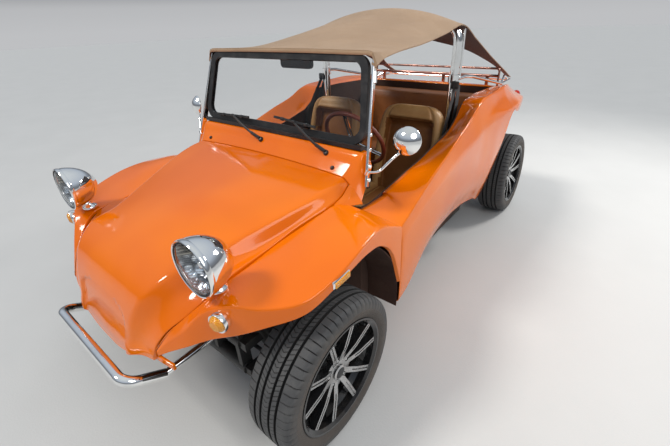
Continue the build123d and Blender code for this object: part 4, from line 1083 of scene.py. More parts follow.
def stitches(form, path, length):
    """Short thread dashes along a path; the length is that of a dash and its gap, in millimetres."""
    step = length * MM
    dash, thread_radius = step * 0.62, 0.00055
    left = 0.0
    for a, b in zip(path, path[1:]):
        run = (b - a).length
        if run < 1e-6:
            continue
        direction = (b - a) / run
        along = left
        while along + dash < run:
            start = a + direction * along
            form.tube([start, start + direction * dash], thread_radius, sides=5)
            along += step
        left = max(0.0, along - run)


# Seats

# Middle of the left front seat, width of a bolster, y of the cushion's front edge
seat_x = 303.0
seat_roll = 66.0
cushion_front = -350
# In metres: radius of the piping, half widths of the second leather on the backrest and on the cushion
piping_radius = 0.0036
back_panel_half, cushion_panel_half = 0.166, 0.156


def padded_section(half_width, depth, valley, panel, crown):
    """Half the outline of a bolstered section, from the middle of its back to the middle of its front."""
    bolster = min(seat_roll, half_width * 0.30)
    inner = half_width - bolster
    return [(0, 0), (half_width * 0.6, 2), (half_width - 12, 16), (half_width, depth * 0.45),
            (half_width - 8, depth - 14), (half_width - bolster * 0.5, depth + 2),
            (inner + 6, depth - 8), (inner - 4, depth - valley), (inner - 16, depth - panel),
            (inner * 0.45, depth - panel + crown * 0.8), (0, depth - panel + crown)]


def seat_point(base, out, across, depth):
    """A point of a seat's section: across the seat, and out from the middle of the section's back."""
    return base + LEFT * across * MM + out * depth * MM


def padded_row(half_width, depth, valley, panel, crown, base, out):
    """The closed ring of a bolstered section, rounded at every point."""
    half = padded_section(half_width, depth, valley, panel, crown)
    ring = [seat_point(base, out, a, b) for a, b in half]
    ring += [seat_point(base, out, -a, b) for a, b in half[-2:0:-1]]
    result = []
    for i, here in enumerate(ring):
        before, after = ring[i - 1], ring[(i + 1) % len(ring)]
        for k in range(4):
            t = k / 4
            start, end = before.lerp(here, 0.5 + t * 0.5), here.lerp(after, t * 0.5)
            result.append(start.lerp(end, 0.5 + 0.5 * t) if t else before.lerp(here, 0.5))
    return result


# Backrest rows: height, half width, depth, valley, panel, crown, set back of the section's back
back_rows = [
    (-60, 184, 92, 34, 34, 10, 0),
    (-30, 212, 116, 42, 42, 12, 0),
    (40, 224, 128, 60, 58, 12, 0),
    (150, 230, 130, 64, 62, 12, -3),
    (260, 231, 130, 64, 62, 12, -5),
    (350, 229, 128, 64, 62, 12, -5),
    (430, 224, 124, 62, 60, 10, -3),
    (476, 217, 120, 56, 54, 8, 0),
    (500, 212, 118, 34, 32, 4, 2),
    (516, 207, 115, 2, 0, 2, 4),
    (540, 196, 112, 0, 0, 0, 6),
    (566, 174, 98, 0, 0, 0, 14),
    (584, 140, 70, 0, 0, 0, 28),
    (592, 92, 34, 0, 0, 0, 44),
]
# Cushion rows: y from the front edge, half width, top z, valley, panel, crown, base z
cushion_rows = [
    (0, 160, 430, 0, 0, 2, 352),
    (8, 196, 462, 0, 0, 4, 338),
    (30, 220, 492, 2, 0, 6, 331),
    (70, 228, 503, 14, 10, 10, 330),
    (110, 230, 503, 40, 34, 14, 330),
    (220, 231, 502, 50, 44, 20, 330),
    (340, 231, 502, 50, 44, 20, 330),
    (430, 229, 500, 46, 40, 12, 330),
    (486, 218, 490, 36, 34, 6, 334),
]


def front_seat_back(name, side, piping):
    """The leaning backrest; its piping runs up one bolster, over the panel and down the other."""
    lean = radians(11.0)
    up, back = Vector((0, sin(lean), cos(lean))), Vector((0, cos(lean), -sin(lean)))
    origin = spot(seat_x * side, 62, 440) + back * 0.120
    rows, edge = [], {1: [], -1: []}
    for height, half_width, depth, valley, panel, crown, set_back in back_rows:
        base = origin + up * height * MM - back * set_back * MM
        rows.append(padded_row(half_width, min(depth, 128), valley, panel, crown, base, -back))
        if 40 <= height <= 476:
            inner = half_width - seat_roll - 3
            for way in (1, -1):
                edge[way].append(seat_point(base, -back, way * inner, depth - valley * 0.86))
    arch_top = [seat_point(origin + up * height * MM, -back, across, depth) for across, height, depth in (
        (112, 494, 76), (50, 497, 74), (0, 497, 74), (-50, 497, 74), (-112, 494, 76))]
    piping.tube(smooth_path(edge[1] + arch_top + edge[-1][::-1], 5), piping_radius, sides=8)
    form = Form().rows(smooth_rows(rows, 6), closed=True, caps=True)
    pad = form.build(f"front_seat_back_{name}", BODY, "bolster_leather", "tan_leather")
    for polygon in pad.data.polygons:
        offset = polygon.center - origin
        in_front = 0.01 < offset.dot(up) < 0.500 and offset.dot(back) < -0.02
        if in_front and abs(offset.x) < back_panel_half:
            polygon.material_index = 1
    return pad


def front_seat_cushion(name, side, piping):
    """The cushion; its piping runs along the bolsters and across the front of the panel."""
    rows, edge = [], {1: [], -1: []}
    for y, half_width, top, valley, panel, crown, base_z in cushion_rows:
        base = spot(seat_x * side, cushion_front + y, base_z)
        rows.append(padded_row(half_width, top - base_z, valley, panel, crown, base, UP))
        if 90 <= y <= 440:
            inner = half_width - seat_roll - 1
            for way in (1, -1):
                edge[way].append(seat_point(base, UP, way * inner, top - base_z - valley * 0.72))
    front = [spot(seat_x * side + across, cushion_front + 78, z)
             for across, z in ((120, 496), (50, 499), (-50, 499), (-120, 496))]
    piping.tube(smooth_path(edge[1][::-1] + front + edge[-1], 5), piping_radius, sides=8)
    form = Form().rows(smooth_rows(rows, 6), closed=True, caps=True)
    pad = form.build(f"front_seat_cushion_{name}", BODY, "bolster_leather", "tan_leather")
    for polygon in pad.data.polygons:
        centre = polygon.center
        on_top = polygon.normal.z > 0.3 and centre.y > -0.268
        if on_top and abs(centre.x - seat_x * side * MM) < cushion_panel_half:
            polygon.material_index = 1
    return pad


def front_seat_pads(name, side):
    """A front seat with its piping, on its legs and rails."""
    piping, legs = Form(), Form()
    back_pad = front_seat_back(name, side, piping)
    cushion = front_seat_cushion(name, side, piping)
    cord = piping.build(f"front_seat_piping_{name}", BODY, "brown_leather")
    for way in (-1, 1):
        x = (seat_x + way * 150) * side
        for y in (-262, 82):
            legs.block(spot(x, y, 268), (30, 46, 122), soft=4)
        legs.block(spot(x, -90, 212), (26, 400, 12), soft=2)
    rails = legs.build(f"front_seat_rails_{name}", BODY, "frame_paint")
    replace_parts(cushion, f"front_seat_{name}")


# Rear bench. Back columns: height, rear y, front y. Cushion columns: y, half width, top, underside.
bench_back = [
    (560, 950, 872),
    (600, 954, 858),
    (760, 966, 868),
    (880, 976, 881),
    (930, 982, 892),
    (964, 988, 912),
    (976, 980, 944),
]
bench_half_width = 462.0
bench_cushion = [
    (500, 400, 545, 470),
    (508, 424, 572, 452),
    (540, 436, 590, 448),
    (680, 440, 592, 442),
    (820, 440, 584, 437),
    (862, 440, 578, 437),
]


def pillow(share, height):
    """How far a seat's half swells at a share of the half width; nothing at the seams and the ends."""
    return height * (1 - (abs(share) * 2 - 1) ** 4) if 0.04 < abs(share) < 0.97 else 0


def bench_ring(points, reach):
    """The closed ring through the points, with rounded corners."""
    return rounded(points + points[:1], reach, arc=3, run=3)[:-1]


def rear_bench():
    form, cords = Form(), Form()
    rows = []
    for z, rear_y, front_y in bench_back:
        ring = [spot(share * bench_half_width, front_y - pillow(share, 14), z)
                for share in (-1.0, -0.96, -0.66, -0.33, -0.02, 0.02, 0.33, 0.66, 0.96, 1.0)]
        ring += [spot(share * bench_half_width, rear_y, z) for share in (1.0, 0.33, -0.33, -1.0)]
        rows.append(bench_ring(ring, 12))
    form.rows(smooth_rows(rows, 6), closed=True, caps=True)
    rows = []
    for y, half_width, top, low in bench_cushion:
        ring = [spot(share * half_width, y, top - 12 + pillow(share, 16))
                for share in (-1.0, -0.9, -0.5, -0.03, 0.03, 0.5, 0.9, 1.0)]
        ring += [spot(share * half_width, y, low) for share in (1.0, 0.33, -0.33, -1.0)]
        rows.append(bench_ring(ring, 16))
    seat = Form().rows(smooth_rows(rows, 6), closed=True, caps=True)
    back = form.build("rear_bench_back", BODY, "brown_leather")
    cushion = seat.build("rear_bench_cushion", BODY, "brown_leather")
    plinth = Form().block(spot(0, 690, 330), (860, 250, 236), soft=6).build(
        "rear_bench_plinth", BODY, "tub_lining")
    cords.tube([spot(x, 903, 955) for x in range(-440, 441, 40)], 0.0035, sides=8)
    cord = cords.build("rear_bench_piping", BODY, "tan_leather")
    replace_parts(back, "rear_seat")


# Wheels

# Tyre profile: x across from the middle, radius
tyre_profile = [
    (-89.7, 221.5), (-90, 233), (-95, 240), (-101, 254), (-102.5, 268), (-101, 284), (-97.5, 298),
    (-91, 307), (-84, 311.5),
    (-80, 312.5), (-66, 315.2),
    (-53, 316.9), (-52, 308.5), (-43.5, 308.5), (-42.5, 317.3),
    (-34, 317.8), (-24.5, 318),
    (-23.5, 309), (-15, 309), (-14, 318),
    (-7, 318), (0, 318), (7, 318),
    (14, 318), (15, 309), (23.5, 309),
    (24.5, 318), (34, 317.8), (42.5, 317.3),
    (43.5, 308.5), (52, 308.5), (53, 316.9),
    (66, 315.2), (80, 312.5),
    (84, 311.5), (91, 307), (97.5, 298), (101, 284), (102.5, 268), (101, 254), (95, 240), (90, 233),
    (89.7, 221.5),
]
# Where the rows of a tread block lie, as shares of its length, and how deep its notch is cut
block_rows = (0, 0.84, 0.88, 0.96)
notch_depth = 6.0


def wheel_place(front, side):
    """Matrix of a wheel: the place of its hub, and the lean of a rear wheel."""
    x, y, z = front_hub if front else rear_hub
    camber = 0.0 if front else -radians(rear_camber) * side
    return Matrix.Translation(spot(x * side, y, z)) @ Matrix.Rotation(camber, 4, "Y")


def on_shoulder(across, radius):
    """Whether a place on the tyre's profile is one that the notches cut."""
    return 60 < abs(across) < 99 and radius > 290


def tyre(name, front, side, settings):
    """Tyre with four grooves and cut shoulders, standing on the ground."""
    place = wheel_place(front, side)
    steps = settings.blocks * 4
    rows = []
    for k in range(steps):
        # the last three rows of each block lie close together, and the last two are cut as its notch
        angle = 2 * pi * (k - k % 4 + block_rows[k % 4] * 4) / steps
        row = []
        for across, radius in tyre_profile:
            if k % 4 > 1 and on_shoulder(across, radius):
                radius -= notch_depth
            row.append(place @ spot(across * side, radius * cos(angle), radius * sin(angle)))
        rows.append(row)
    form = Form().rows(rows, loop=True)
    form.slots = []
    # faces in the grooves and in the shoulder notches take the near-black groove finish, which is painted
    # shade
    for k in range(steps):
        for (x1, radius1), (x2, radius2) in zip(tyre_profile, tyre_profile[1:]):
            in_groove = min(radius1, radius2) < 310 and abs(x1) < 56
            in_notch = k % 4 == 2 and on_shoulder((x1 + x2) / 2, radius1)
            form.slots.append(int(in_groove or in_notch))
    corner = f"{'front' if front else 'rear'}_{name}"
    node = f"tyre_{corner}"
    piece = form.build(f"{node}_tread", f"wheel_{corner}_body", "tyre_rubber", "tyre_groove", sharp=50)
    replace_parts(piece, node)


def wheel_trim(name, front, side):
    """Lug bolts, a bare cap on the hub and the valve."""
    place = wheel_place(front, side)
    form = Form()
    out = (place.to_3x3() @ Vector((side, 0, 0))).normalized()
    face, bolt_circle, valve_circle, valve_angle = 83.0, 56, 206, 0.9
    valve_y, valve_z = valve_circle * cos(valve_angle), valve_circle * sin(valve_angle)
    for i in range(5):
        angle = radians(18 + 72 * i)
        base = place @ spot((face - 40) * side, bolt_circle * cos(angle), bolt_circle * sin(angle))
        form.lathe([(0, 0.0), (0, 0.0078), (0.014, 0.0078), (0.017, 0.006), (0.017, 0.0)], base, out, 6)
    cap = place @ spot((face - 12) * side, 0, 0)
    form.lathe([(0, 0.0235), (0.0006, 0.0225), (0.0022, 0.021), (0.0034, 0.012), (0.0038, 0.0)],
               cap, out, 40, 1)
    form.lathe([(-0.005, 0.0268), (-0.004, 0.0285), (-0.0035, 0.0262)], cap, out, 40)
    valve = place @ spot((face - 6) * side, valve_y, valve_z)
    form.tube([valve, valve + out * 0.018], 0.0035, sides=8, slot=1)
    corner = f"{'front' if front else 'rear'}_{name}"
    piece = form.build(f"hub_trim_{corner}", f"wheel_{corner}_body", "chrome_trim", "black_parts")


# Lamps

# Middle of the left headlamp's glass
lamp_centre = (499.0, -1512.0, 877.0)
# Headlamp: distance and radius; the distance is behind the glass's edge for the bowl and before it for
# the rim, the seal and the pane
lamp_bowl = [(8, 94), (20, 93.5), (34, 91.5), (50, 87.5), (66, 81.5), (82, 73), (97, 62), (110, 48),
             (121, 31), (127, 15), (129, 0)]
lamp_rim = [(-14, 87), (1, 88), (4, 90), (5, 92.5), (3, 95), (-2, 95.8), (-9, 95.6), (-14, 93.5)]
lamp_seal = [(-4, 84), (1, 85), (3.5, 87), (3, 89)]
lamp_pane = [(-3, 87.5), (0, 86), (4, 79), (8, 62), (11, 40), (13, 18), (13.4, 0)]
# Its bulb and the bulb's cap: distance from the socket and radius; its foot: height and radius
lamp_bulb = [(0, 0), (0, 11), (12, 11), (14, 7.5), (44, 7.5), (49, 5), (51, 0)]
bulb_cap = [(46, 0), (46, 13), (50, 14), (54, 11), (56, 0)]
lamp_foot = [(0, 0), (0, 31), (4, 31.5), (9, 28), (17, 20), (26, 16), (36, 15.5), (44, 20), (54, 29),
             (56, 0)]
# Bullet cup of an indicator: along its direction and radius
indicator_cup = [(-40, 0), (-38, 10), (-30, 20), (-18, 28), (-4, 33), (10, 34.5), (19, 34.5), (22, 33),
                 (21, 29), (16, 0)]


def millimetres(profile, way=1):
    """The profile of millimetres in metres, turned round if way is -1."""
    return [(way * along * MM, radius * MM) for along, radius in profile]


def headlamp_shells():
    """Bowls, rims, seals, reflectors, bulbs and glasses of the headlamps."""
    facets, shells, bulbs, glasses = Form(), Form(), Form(), Form()
    dish = [(6 + 74 * (1 - (r / 86) ** 2), r) for r in (86, 80, 74, 66, 57, 48, 38, 28, 19, 9)]
    for _, side in SIDES:
        centre = spot(lamp_centre[0] * side, lamp_centre[1], lamp_centre[2])
        facets.lathe(millimetres(dish, -1), centre, AHEAD, 48)
        shells.lathe(millimetres(lamp_bowl, -1), centre, AHEAD, 72)
        shells.lathe(millimetres(lamp_rim), centre, AHEAD, 72)
        shells.lathe(millimetres(lamp_seal), centre, AHEAD, 72, slot=1)
        glasses.lathe(millimetres(lamp_pane), centre, AHEAD, 64)
        foot = spot(lamp_centre[0] * side, lamp_centre[1] + 66, 764)
        shells.lathe(millimetres(lamp_foot), foot, UP, 32)
        socket = centre - AHEAD * 0.078
        bulbs.lathe(millimetres(lamp_bulb), socket, AHEAD, 20)
        bulbs.lathe(millimetres(bulb_cap), socket, AHEAD, 20)
    shell = shells.build("headlamp_shells", BODY, "chrome_trim", "rubber_seal", sharp=60)
    for piece in (facets.build("headlamp_reflectors", BODY, "reflector_facets"), shell,
                  bulbs.build("headlamp_bulbs", BODY, "mirror_glass")):
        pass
    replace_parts(shell, "headlamps")
    pane = glasses.build("headlamp_glasses", BODY, "lamp_glass")
    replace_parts(pane, "headlamp_lenses")


def indicators():
    """Round indicators in bullet cups, and the ribbed markers on the fenders' edges."""
    cups, lenses = Form(), Form()
    lens_profile = [(0.015, 0.0), (0.015, 0.029)]
    for k in range(6):
        # each ring of the lens is narrower than the one behind it
        along, radius = 0.019 + 0.0026 * k, 0.0285 - 0.0004 * k * k
        lens_profile += [(along, radius), (along + 0.0018, radius - 0.0012)]
    lens_profile += [(0.0345, 0.012), (0.0355, 0.0)]
    for _, side in SIDES:
        direction = Vector((0.2 * side, -0.98, 0)).normalized()
        base = spot(571 * side, -1499, 715)
        cups.lathe(millimetres(indicator_cup), base, direction, 40)
        lenses.lathe(lens_profile, base, direction, 40)
        along_edge, out = Vector((0, 1, 0.05)).normalized(), Vector((side, 0, 0))
        centre = spot(787 * side, -1190, 768)
        cups.block(centre, (86, 28, 12), (along_edge, UP, out), soft=4)
        for k in range(8):
            middle = centre + out * 0.006 + along_edge * (k - 3.5) * 0.0094
            lenses.block(middle, (9, 21, 9), (along_edge, UP, out), soft=1.6)
    cup = cups.build("indicator_cups", BODY, "chrome_trim")
    lens_piece = lenses.build("indicator_lenses", BODY, "amber_lens")
    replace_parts(lens_piece, "marker_lamps")


# Cabin

def ring_path(centre, across, up, radius, count):
    """Points round a circle."""
    return [centre + (across * cos(2 * pi * k / count) + up * sin(2 * pi * k / count)) * radius
            for k in range(count)]


def steering_wheel():
    """Leather rim with its stitches, three double spokes and a bare hub."""
    body = "steering_wheel_body"
    rim_radius, seam_radius = 0.177, 0.1660
    centre = spot(245, -350, 925)
    axis = Vector((0, cos(radians(30)), sin(radians(30))))
    across = LEFT
    up = axis.cross(across).normalized()
    rim, metal, thread = Form(), Form(), Form()
    rim.tube(ring_path(centre, across, up, rim_radius, 96), 0.0115, sides=16, loop=True)
    seam = ring_path(centre, across, up, seam_radius, 160)
    stitches(thread, seam + seam[:1], 7.0)
    for angle in (-90, 30, 150):
        out = across * cos(radians(angle)) + up * sin(radians(angle))
        side = out.cross(axis).normalized()
        for way in (-1, 1):
            start = centre - axis * 0.016 + out * 0.026 + side * 0.011 * way
            end = centre + out * 0.172 + side * 0.009 * way
            metal.tube([start, start.lerp(end, 0.5), end], 0.0046, sides=8)
        metal.block(centre + out * 0.160 - axis * 0.001, (30, 30, 4), (out, side, axis), soft=1.2)
    metal.lathe([(-0.042, 0.0), (-0.042, 0.034), (-0.010, 0.034), (-0.004, 0.030)], centre, axis, 40)
    metal.lathe([(-0.004, 0.030), (0.0, 0.028), (0.002, 0.020), (0.003, 0.0)], centre, axis, 40, 1)
    wrapped = rim.build("steering_rim_wrap", body, "rim_leather")
    spokes = metal.build("steering_spokes", body, "chrome_trim", "black_parts")
    seams = thread.build("steering_stitches", body, "stitch_thread")
    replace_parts(wrapped, "steering_wheel")


# Gauges: x, z, radius
gauges = [(245, 905, 62), (150, 925, 30), (340, 925, 30)]
# Bent arm of the left mirror
mirror_arm = [(590, -749, 940), (629, -720, 941), (676, -680, 1004), (703, -650, 1030)]
# Each wiper's pivot, its arm's end and its blade's two ends
wiper_table = [
    ((375, -745, 983), (161, -712, 1080), (20, -707, 1092), (290, -712, 1076)),
    ((-40, -754, 982), (-290, -716, 1066), (-430, -717, 1061), (-160, -715, 1070)),
]
# The left belt's two runs: direction of the width, and the places that each passes
belt_routes = [
    ((0.1, 1, 0.35), ((514, 318, 1150), (524, 275, 1080), (535, 205, 975), (541, 150, 870),
                      (546, 165, 640), (542, 240, 460))),
    ((0.1, 1, 0.25), ((520, 350, 1120), (531, 330, 1060), (541, 290, 950), (548, 255, 830),
                      (554, 240, 640), (548, 248, 460))),
]


def dials():
    """Gauges in chrome rings, with their marks and needles."""
    form = Form()
    dash_y, large_radius = -617, gauges[0][2]
    for x, z, radius in gauges:
        centre = spot(x, dash_y, z)
        size = radius * MM
        ring = [(0, size * 0.99), (0.004, size), (0.006, size * 0.94), (0.001, size * 0.88)]
        form.lathe(ring, centre, REAR, 48)
        form.lathe([(0.0008, size * 0.9), (0.0008, 0.0)], centre, REAR, 48, 1)
        for k in range(17):
            angle = radians(-135 + 270 / 16 * k)
            out = Vector((sin(angle), 0, cos(angle)))
            side = out.cross(REAR)
            length = (9 if k % 4 == 0 else 5) * radius / large_radius
            form.block(centre + out * size * 0.78 + REAR * 0.0013, (1.2, length, 0.8),
                       (side, out, REAR), soft=0.2, slot=2)
        needle = Vector((-0.72, 0, -0.45)).normalized()
        form.block(centre + needle * size * 0.34 + REAR * 0.0028, (1.6, radius * 0.78, 1.0),
                   (needle.cross(REAR), needle, REAR), soft=0.3, slot=3)
    piece = form.build("gauge_dials", BODY, "chrome_trim", "dial_face", "dial_marks", "red_lens")


def door_mirrors():
    """Round mirrors with a domed chrome back, on a bent arm from the windshield's post."""
    chrome, glass = Form(), Form()
    for _, side in SIDES:
        head = spot(715 * side, -659, 1067)
        facing = Vector((0.25 * side, -0.95, 0.18)).normalized()
        dome = [(30 * (1 - (r / 56) ** 2.2), r) for r in (0, 8, 16, 24, 32, 39, 45, 50, 53.5, 55.4)]
        dome += [(-2, 56.4), (-6, 56), (-8, 54), (-7, 51.5)]
        chrome.lathe(millimetres(dome), head, facing, 56)
        glass.lathe(millimetres([(-6.5, 52), (-7.5, 30), (-8, 0)]), head, facing, 48)
        arm = spots(mirror_arm, side)
        chrome.tube(rounded(arm, [0, 18, 30, 0], arc=6, run=4), 0.0058, sides=12)
        foot = millimetres([(-9, 0), (-9, 9), (9, 9), (9, 0)])
        chrome.lathe(foot, arm[0], Vector((0.35 * side, 0.1, 0.93)), 16)
    piece = chrome.build("door_mirror_backs", BODY, "chrome_trim")
    pane = glass.build("door_mirror_glass", BODY, "mirror_glass")
    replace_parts(piece, "door_mirrors")


def wipers():
    """Arms from their pivots on the cowl, with rubber blades on the glass."""
    form = Form()
    for pivot, arm_end, blade_start, blade_end in wiper_table:
        pivot, arm_end = spot(*pivot), spot(*arm_end)
        blade_start, blade_end = spot(*blade_start), spot(*blade_end)
        form.lathe(millimetres([(-14, 0), (-14, 13), (6, 13), (12, 10), (15, 0)]), pivot,
                   Vector((0, -0.62, 0.78)), 20)
        foot, bend = pivot + spot(0, -8, 10), pivot.lerp(arm_end, 0.25) + spot(0, -14, 6)
        bow = pivot.lerp(arm_end, 0.62) + spot(0, -12, 4)
        form.tube(smooth_path([foot, bend, bow, arm_end], 6), 0.0040, sides=8, flat=1.7)
        form.tube([foot, bend.lerp(pivot, 0.5) + spot(0, -6, 6), bend], 0.0072, sides=8, flat=1.2)
        way = (blade_end - blade_start).normalized()
        across = way.cross(UP).normalized()
        axes = (way, across, across.cross(way))
        middle = blade_start.lerp(blade_end, 0.5)
        length = (blade_end - blade_start).length / MM
        form.block(middle - across * 0.002, (length, 5, 12), axes, soft=1.6)
        form.block(middle, (length * 0.98, 14, 2.4), axes, soft=0.8)
        for share in (0.22, 0.5, 0.78):
            form.block(blade_start.lerp(blade_end, share), (22, 14, 15), axes, soft=3)
    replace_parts(form.build("wiper_arms", BODY, "black_parts"), "wipers")


# Section of a strap in shares of its half width and half thickness
strap_section = [(-1, -0.6), (-0.97, -1), (0.97, -1), (1, -0.6), (1, 0.6), (0.97, 1), (-0.97, 1),
                 (-1, 0.6)]


def strap(form, path, width_way, width, thickness=2.4):
    """A flat strap along a path, its width along the given direction."""
    half, deep = width / 2 * MM, thickness / 2 * MM
    rows = []
    for i, here in enumerate(path):
        direction = (path[min(i + 1, len(path) - 1)] - path[max(i - 1, 0)]).normalized()
        out = direction.cross(width_way).normalized()
        rows.append([here + width_way * half * a + out * deep * b for a, b in strap_section])
    form.rows(rows, closed=True, caps=True)


def seat_belts():
    """Webbing that hangs from the roll bar's post, its reel below and its buckle."""
    web, reel = Form(), Form()
    for _, side in SIDES:
        for width_way, route in belt_routes:
            path = smooth_path(spots(route, side), 8)
            strap(web, path, Vector(width_way).normalized(), width=44)
        reel.block(spot(530 * side, 262, 420), (56, 46, 84), soft=8)
        reel.block(spot(516 * side, 300, 1130), (52, 14, 44), soft=5)
        reel.block(spot(556 * side, 249, 560), (14, 34, 62), soft=4)
    reel.build("belt_reels", BODY, "black_parts")
    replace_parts(web.build("belt_webbing", BODY, "belt_web"), "seat_belts")


def top_frame_legs():
    """Thin chrome legs that carry the canvas frame beside the roll bar."""
    form = Form()
    for _, side in SIDES:
        path = spots(((521, 352, 1164), (518, 355, 1300), (514, 357, 1424)), side)
        form.tube(smooth_path(path, 6), 0.006, sides=10)
    form.build("top_frame_legs", BODY, "chrome_trim")


def small_fittings():
    """Bolts, catches and the washer nozzles."""
    chrome, black = Form(), Form()
    for _, side in SIDES:
        low, high = spot(594 * side, -756, 880), spot(524 * side, -602, 1352)
        way = (high - low).normalized()
        out = Vector((side, 0, 0))
        for share in (0.30, 0.42, 0.93):
            centre = low + (high - low) * share + out * 0.0055
            chrome.lathe([(0, 0.0075), (0.003, 0.0075), (0.0055, 0.005), (0.0062, 0.0)], centre, out, 18)
        catch = low + (high - low) * 0.86 + out * 0.009
        chrome.block(catch, (8, 16, 46), (out, way.cross(out).normalized(), way), soft=2)
        nozzle = [(0, 0.010), (0.006, 0.009), (0.011, 0.005), (0.012, 0.0)]
        black.lathe(nozzle, spot(436 * side, -781, 938), Vector((0, -0.7, 0.7)), 20)
    chrome.build("post_fittings", BODY, "chrome_trim")
    black.build("washer_nozzles", BODY, "black_parts")


# Settings

class BuggyBodySettings(bpy.types.PropertyGroup):
    wall: FloatProperty(name="Wall", description="Thickness of the mouldings in millimetres", default=5.0)
    flange: FloatProperty(name="Flange", description="Turned edge of a moulding in millimetres",
                          default=14.0)
    ridge_reach: FloatProperty(name="Ridge", description="Rounding of the hood's ridges", default=15.0)
    flute_reach: FloatProperty(name="Flute", description="Rounding of the hood's flutes", default=30.0)
    crease_reach: FloatProperty(name="Crease", description="Rounding of the fender's crease", default=9.0)
    crest_reach: FloatProperty(name="Crest", description="Rounding of the side's crest", default=8.0)
    plate_depth: FloatProperty(name="Recess", description="Depth of the nose's plate recess", default=9.0)


class BuggyCanvasSettings(bpy.types.PropertyGroup):
    cloth: FloatProperty(name="Cloth", description="Thickness of the canvas in millimetres", default=3.0)
    wrinkle: FloatProperty(name="Wrinkle", description="Depth of the slack near the edges", default=3.5)
    hem_width: FloatProperty(name="Hem", description="Width of the folded hems", default=26.0)
    stitch: FloatProperty(name="Stitch", description="Length of one stitch and its gap", default=9.0)
    cut_area: FloatProperty(name="Cut area", description="Flat area of the canvas in square metres",
                            default=1.78)


class BuggyTyreSettings(bpy.types.PropertyGroup):
    blocks: IntProperty(name="Blocks", description="Cut blocks round each tyre's shoulder", default=66)


class BuggyStageSettings(bpy.types.PropertyGroup):
    eye: FloatVectorProperty(name="Eye", description="Camera position", subtype="XYZ", unit="LENGTH",
                             default=(1.33406, -1.88071, 1.47498))
    heading: FloatProperty(name="Heading", description="Camera azimuth", unit="ROTATION",
                           default=radians(39.19))
    fall: FloatProperty(name="Fall", description="Camera pitch below level", unit="ROTATION",
                        default=radians(29.62))
    roll: FloatProperty(name="Roll", description="Camera roll", unit="ROTATION", default=radians(-2.267))
    lens: FloatProperty(name="Lens", description="Focal length in millimetres", default=18.86)


class BuggyOperator:
    bl_options = {"REGISTER", "UNDO"}


class BUGGY_OT_body(BuggyOperator, bpy.types.Operator):
    """Build the painted mouldings of the body"""
    bl_idname = "buggy.body"
    bl_label = "Body Mouldings"

    def execute(self, context):
        settings = context.scene.buggy_body
        hood_skin(settings)
        cowl_skin(settings)
        rear_deck_skin(settings)
        bumper_brackets()
        for name, side in SIDES:
            fender_skin(name, side, settings)
            side_skin(name, side, settings)
            front_arch_liner(name, side)
        return {"FINISHED"}


class BUGGY_OT_canvas(BuggyOperator, bpy.types.Operator):
    """Build the canvas top with its hems and stitches"""
    bl_idname = "buggy.canvas"
    bl_label = "Canvas Top"

    def execute(self, context):
        soft_top_canvas(context.scene.buggy_canvas)
        return {"FINISHED"}


class BUGGY_OT_seats(BuggyOperator, bpy.types.Operator):
    """Build the front seats and the rear bench with their piping"""
    bl_idname = "buggy.seats"
    bl_label = "Seats"

    def execute(self, context):
        for name, side in SIDES:
            front_seat_pads(name, side)
        rear_bench()
        return {"FINISHED"}


class BUGGY_OT_wheels(BuggyOperator, bpy.types.Operator):
    """Build the tyres and the trim of the wheels"""
    bl_idname = "buggy.wheels"
    bl_label = "Wheels"

    def execute(self, context):
        for name, side in SIDES:
            for front in (True, False):
                tyre(name, front, side, context.scene.buggy_tyres)
                wheel_trim(name, front, side)
        return {"FINISHED"}


class BUGGY_OT_lamps(BuggyOperator, bpy.types.Operator):
    """Build the headlamps and the indicators"""
    bl_idname = "buggy.lamps"
    bl_label = "Lamps"

    def execute(self, context):
        headlamp_shells()
        indicators()
        return {"FINISHED"}


class BUGGY_OT_cabin(BuggyOperator, bpy.types.Operator):
    """Build the steering wheel, dials and seat belts"""
    bl_idname = "buggy.cabin"
    bl_label = "Cabin"

    def execute(self, context):
        steering_wheel()
        dials()
        seat_belts()
        return {"FINISHED"}


class BUGGY_OT_fittings(BuggyOperator, bpy.types.Operator):
    """Build the mirrors, wipers, frame legs and bolts"""
    bl_idname = "buggy.fittings"
    bl_label = "Outer Fittings"

    def execute(self, context):
        door_mirrors()
        wipers()
        top_frame_legs()
        small_fittings()
        return {"FINISHED"}


class BUGGY_OT_finishes(BuggyOperator, bpy.types.Operator):
    """Give the kept CAD parts their finishes"""
    bl_idname = "buggy.finishes"
    bl_label = "Finishes"

    def execute(self, context):
        shown = {item["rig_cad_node"]: item for item in context.scene.objects if "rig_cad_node" in item}
        paint_kept_nodes(shown)
        return {"FINISHED"}


# Studio

# Area lights: name, place, size, power, tint. They all point at the target.
area_lights = (
    ("fill_light", (3.2, -1.6, 3.4), 2.2, 40, (1.0, 0.97, 0.93)),
    ("edge_light", (2.4, 3.4, 3.4), 1.0, 110, (1.0, 0.98, 0.95)),
)
light_target = (0.4, -0.3, 0.8)
sun_way = (0.42, 0.50, -0.76)


def add_light(name, data, way):
    """Add a light that shines along a direction."""
    lamp = bpy.data.objects.new(name, data)
    lamp.rotation_euler = way.to_track_quat("-Z", "Y").to_euler()
    bpy.context.scene.collection.objects.link(lamp)
    return lamp


def studio_lights():
    """A soft sun and the area lights."""
    sun = bpy.data.lights.new("soft_sun", "SUN")
    sun.energy, sun.angle, sun.color = 1.7, radians(14), (1.0, 0.97, 0.92)
    add_light("soft_sun", sun, Vector(sun_way))
    for name, place, size, power, tint in area_lights:
        data = bpy.data.lights.new(name, "AREA")
        data.shape, data.size, data.energy, data.color = "DISK", size, power, tint
        add_light(name, data, Vector(light_target) - Vector(place)).location = place


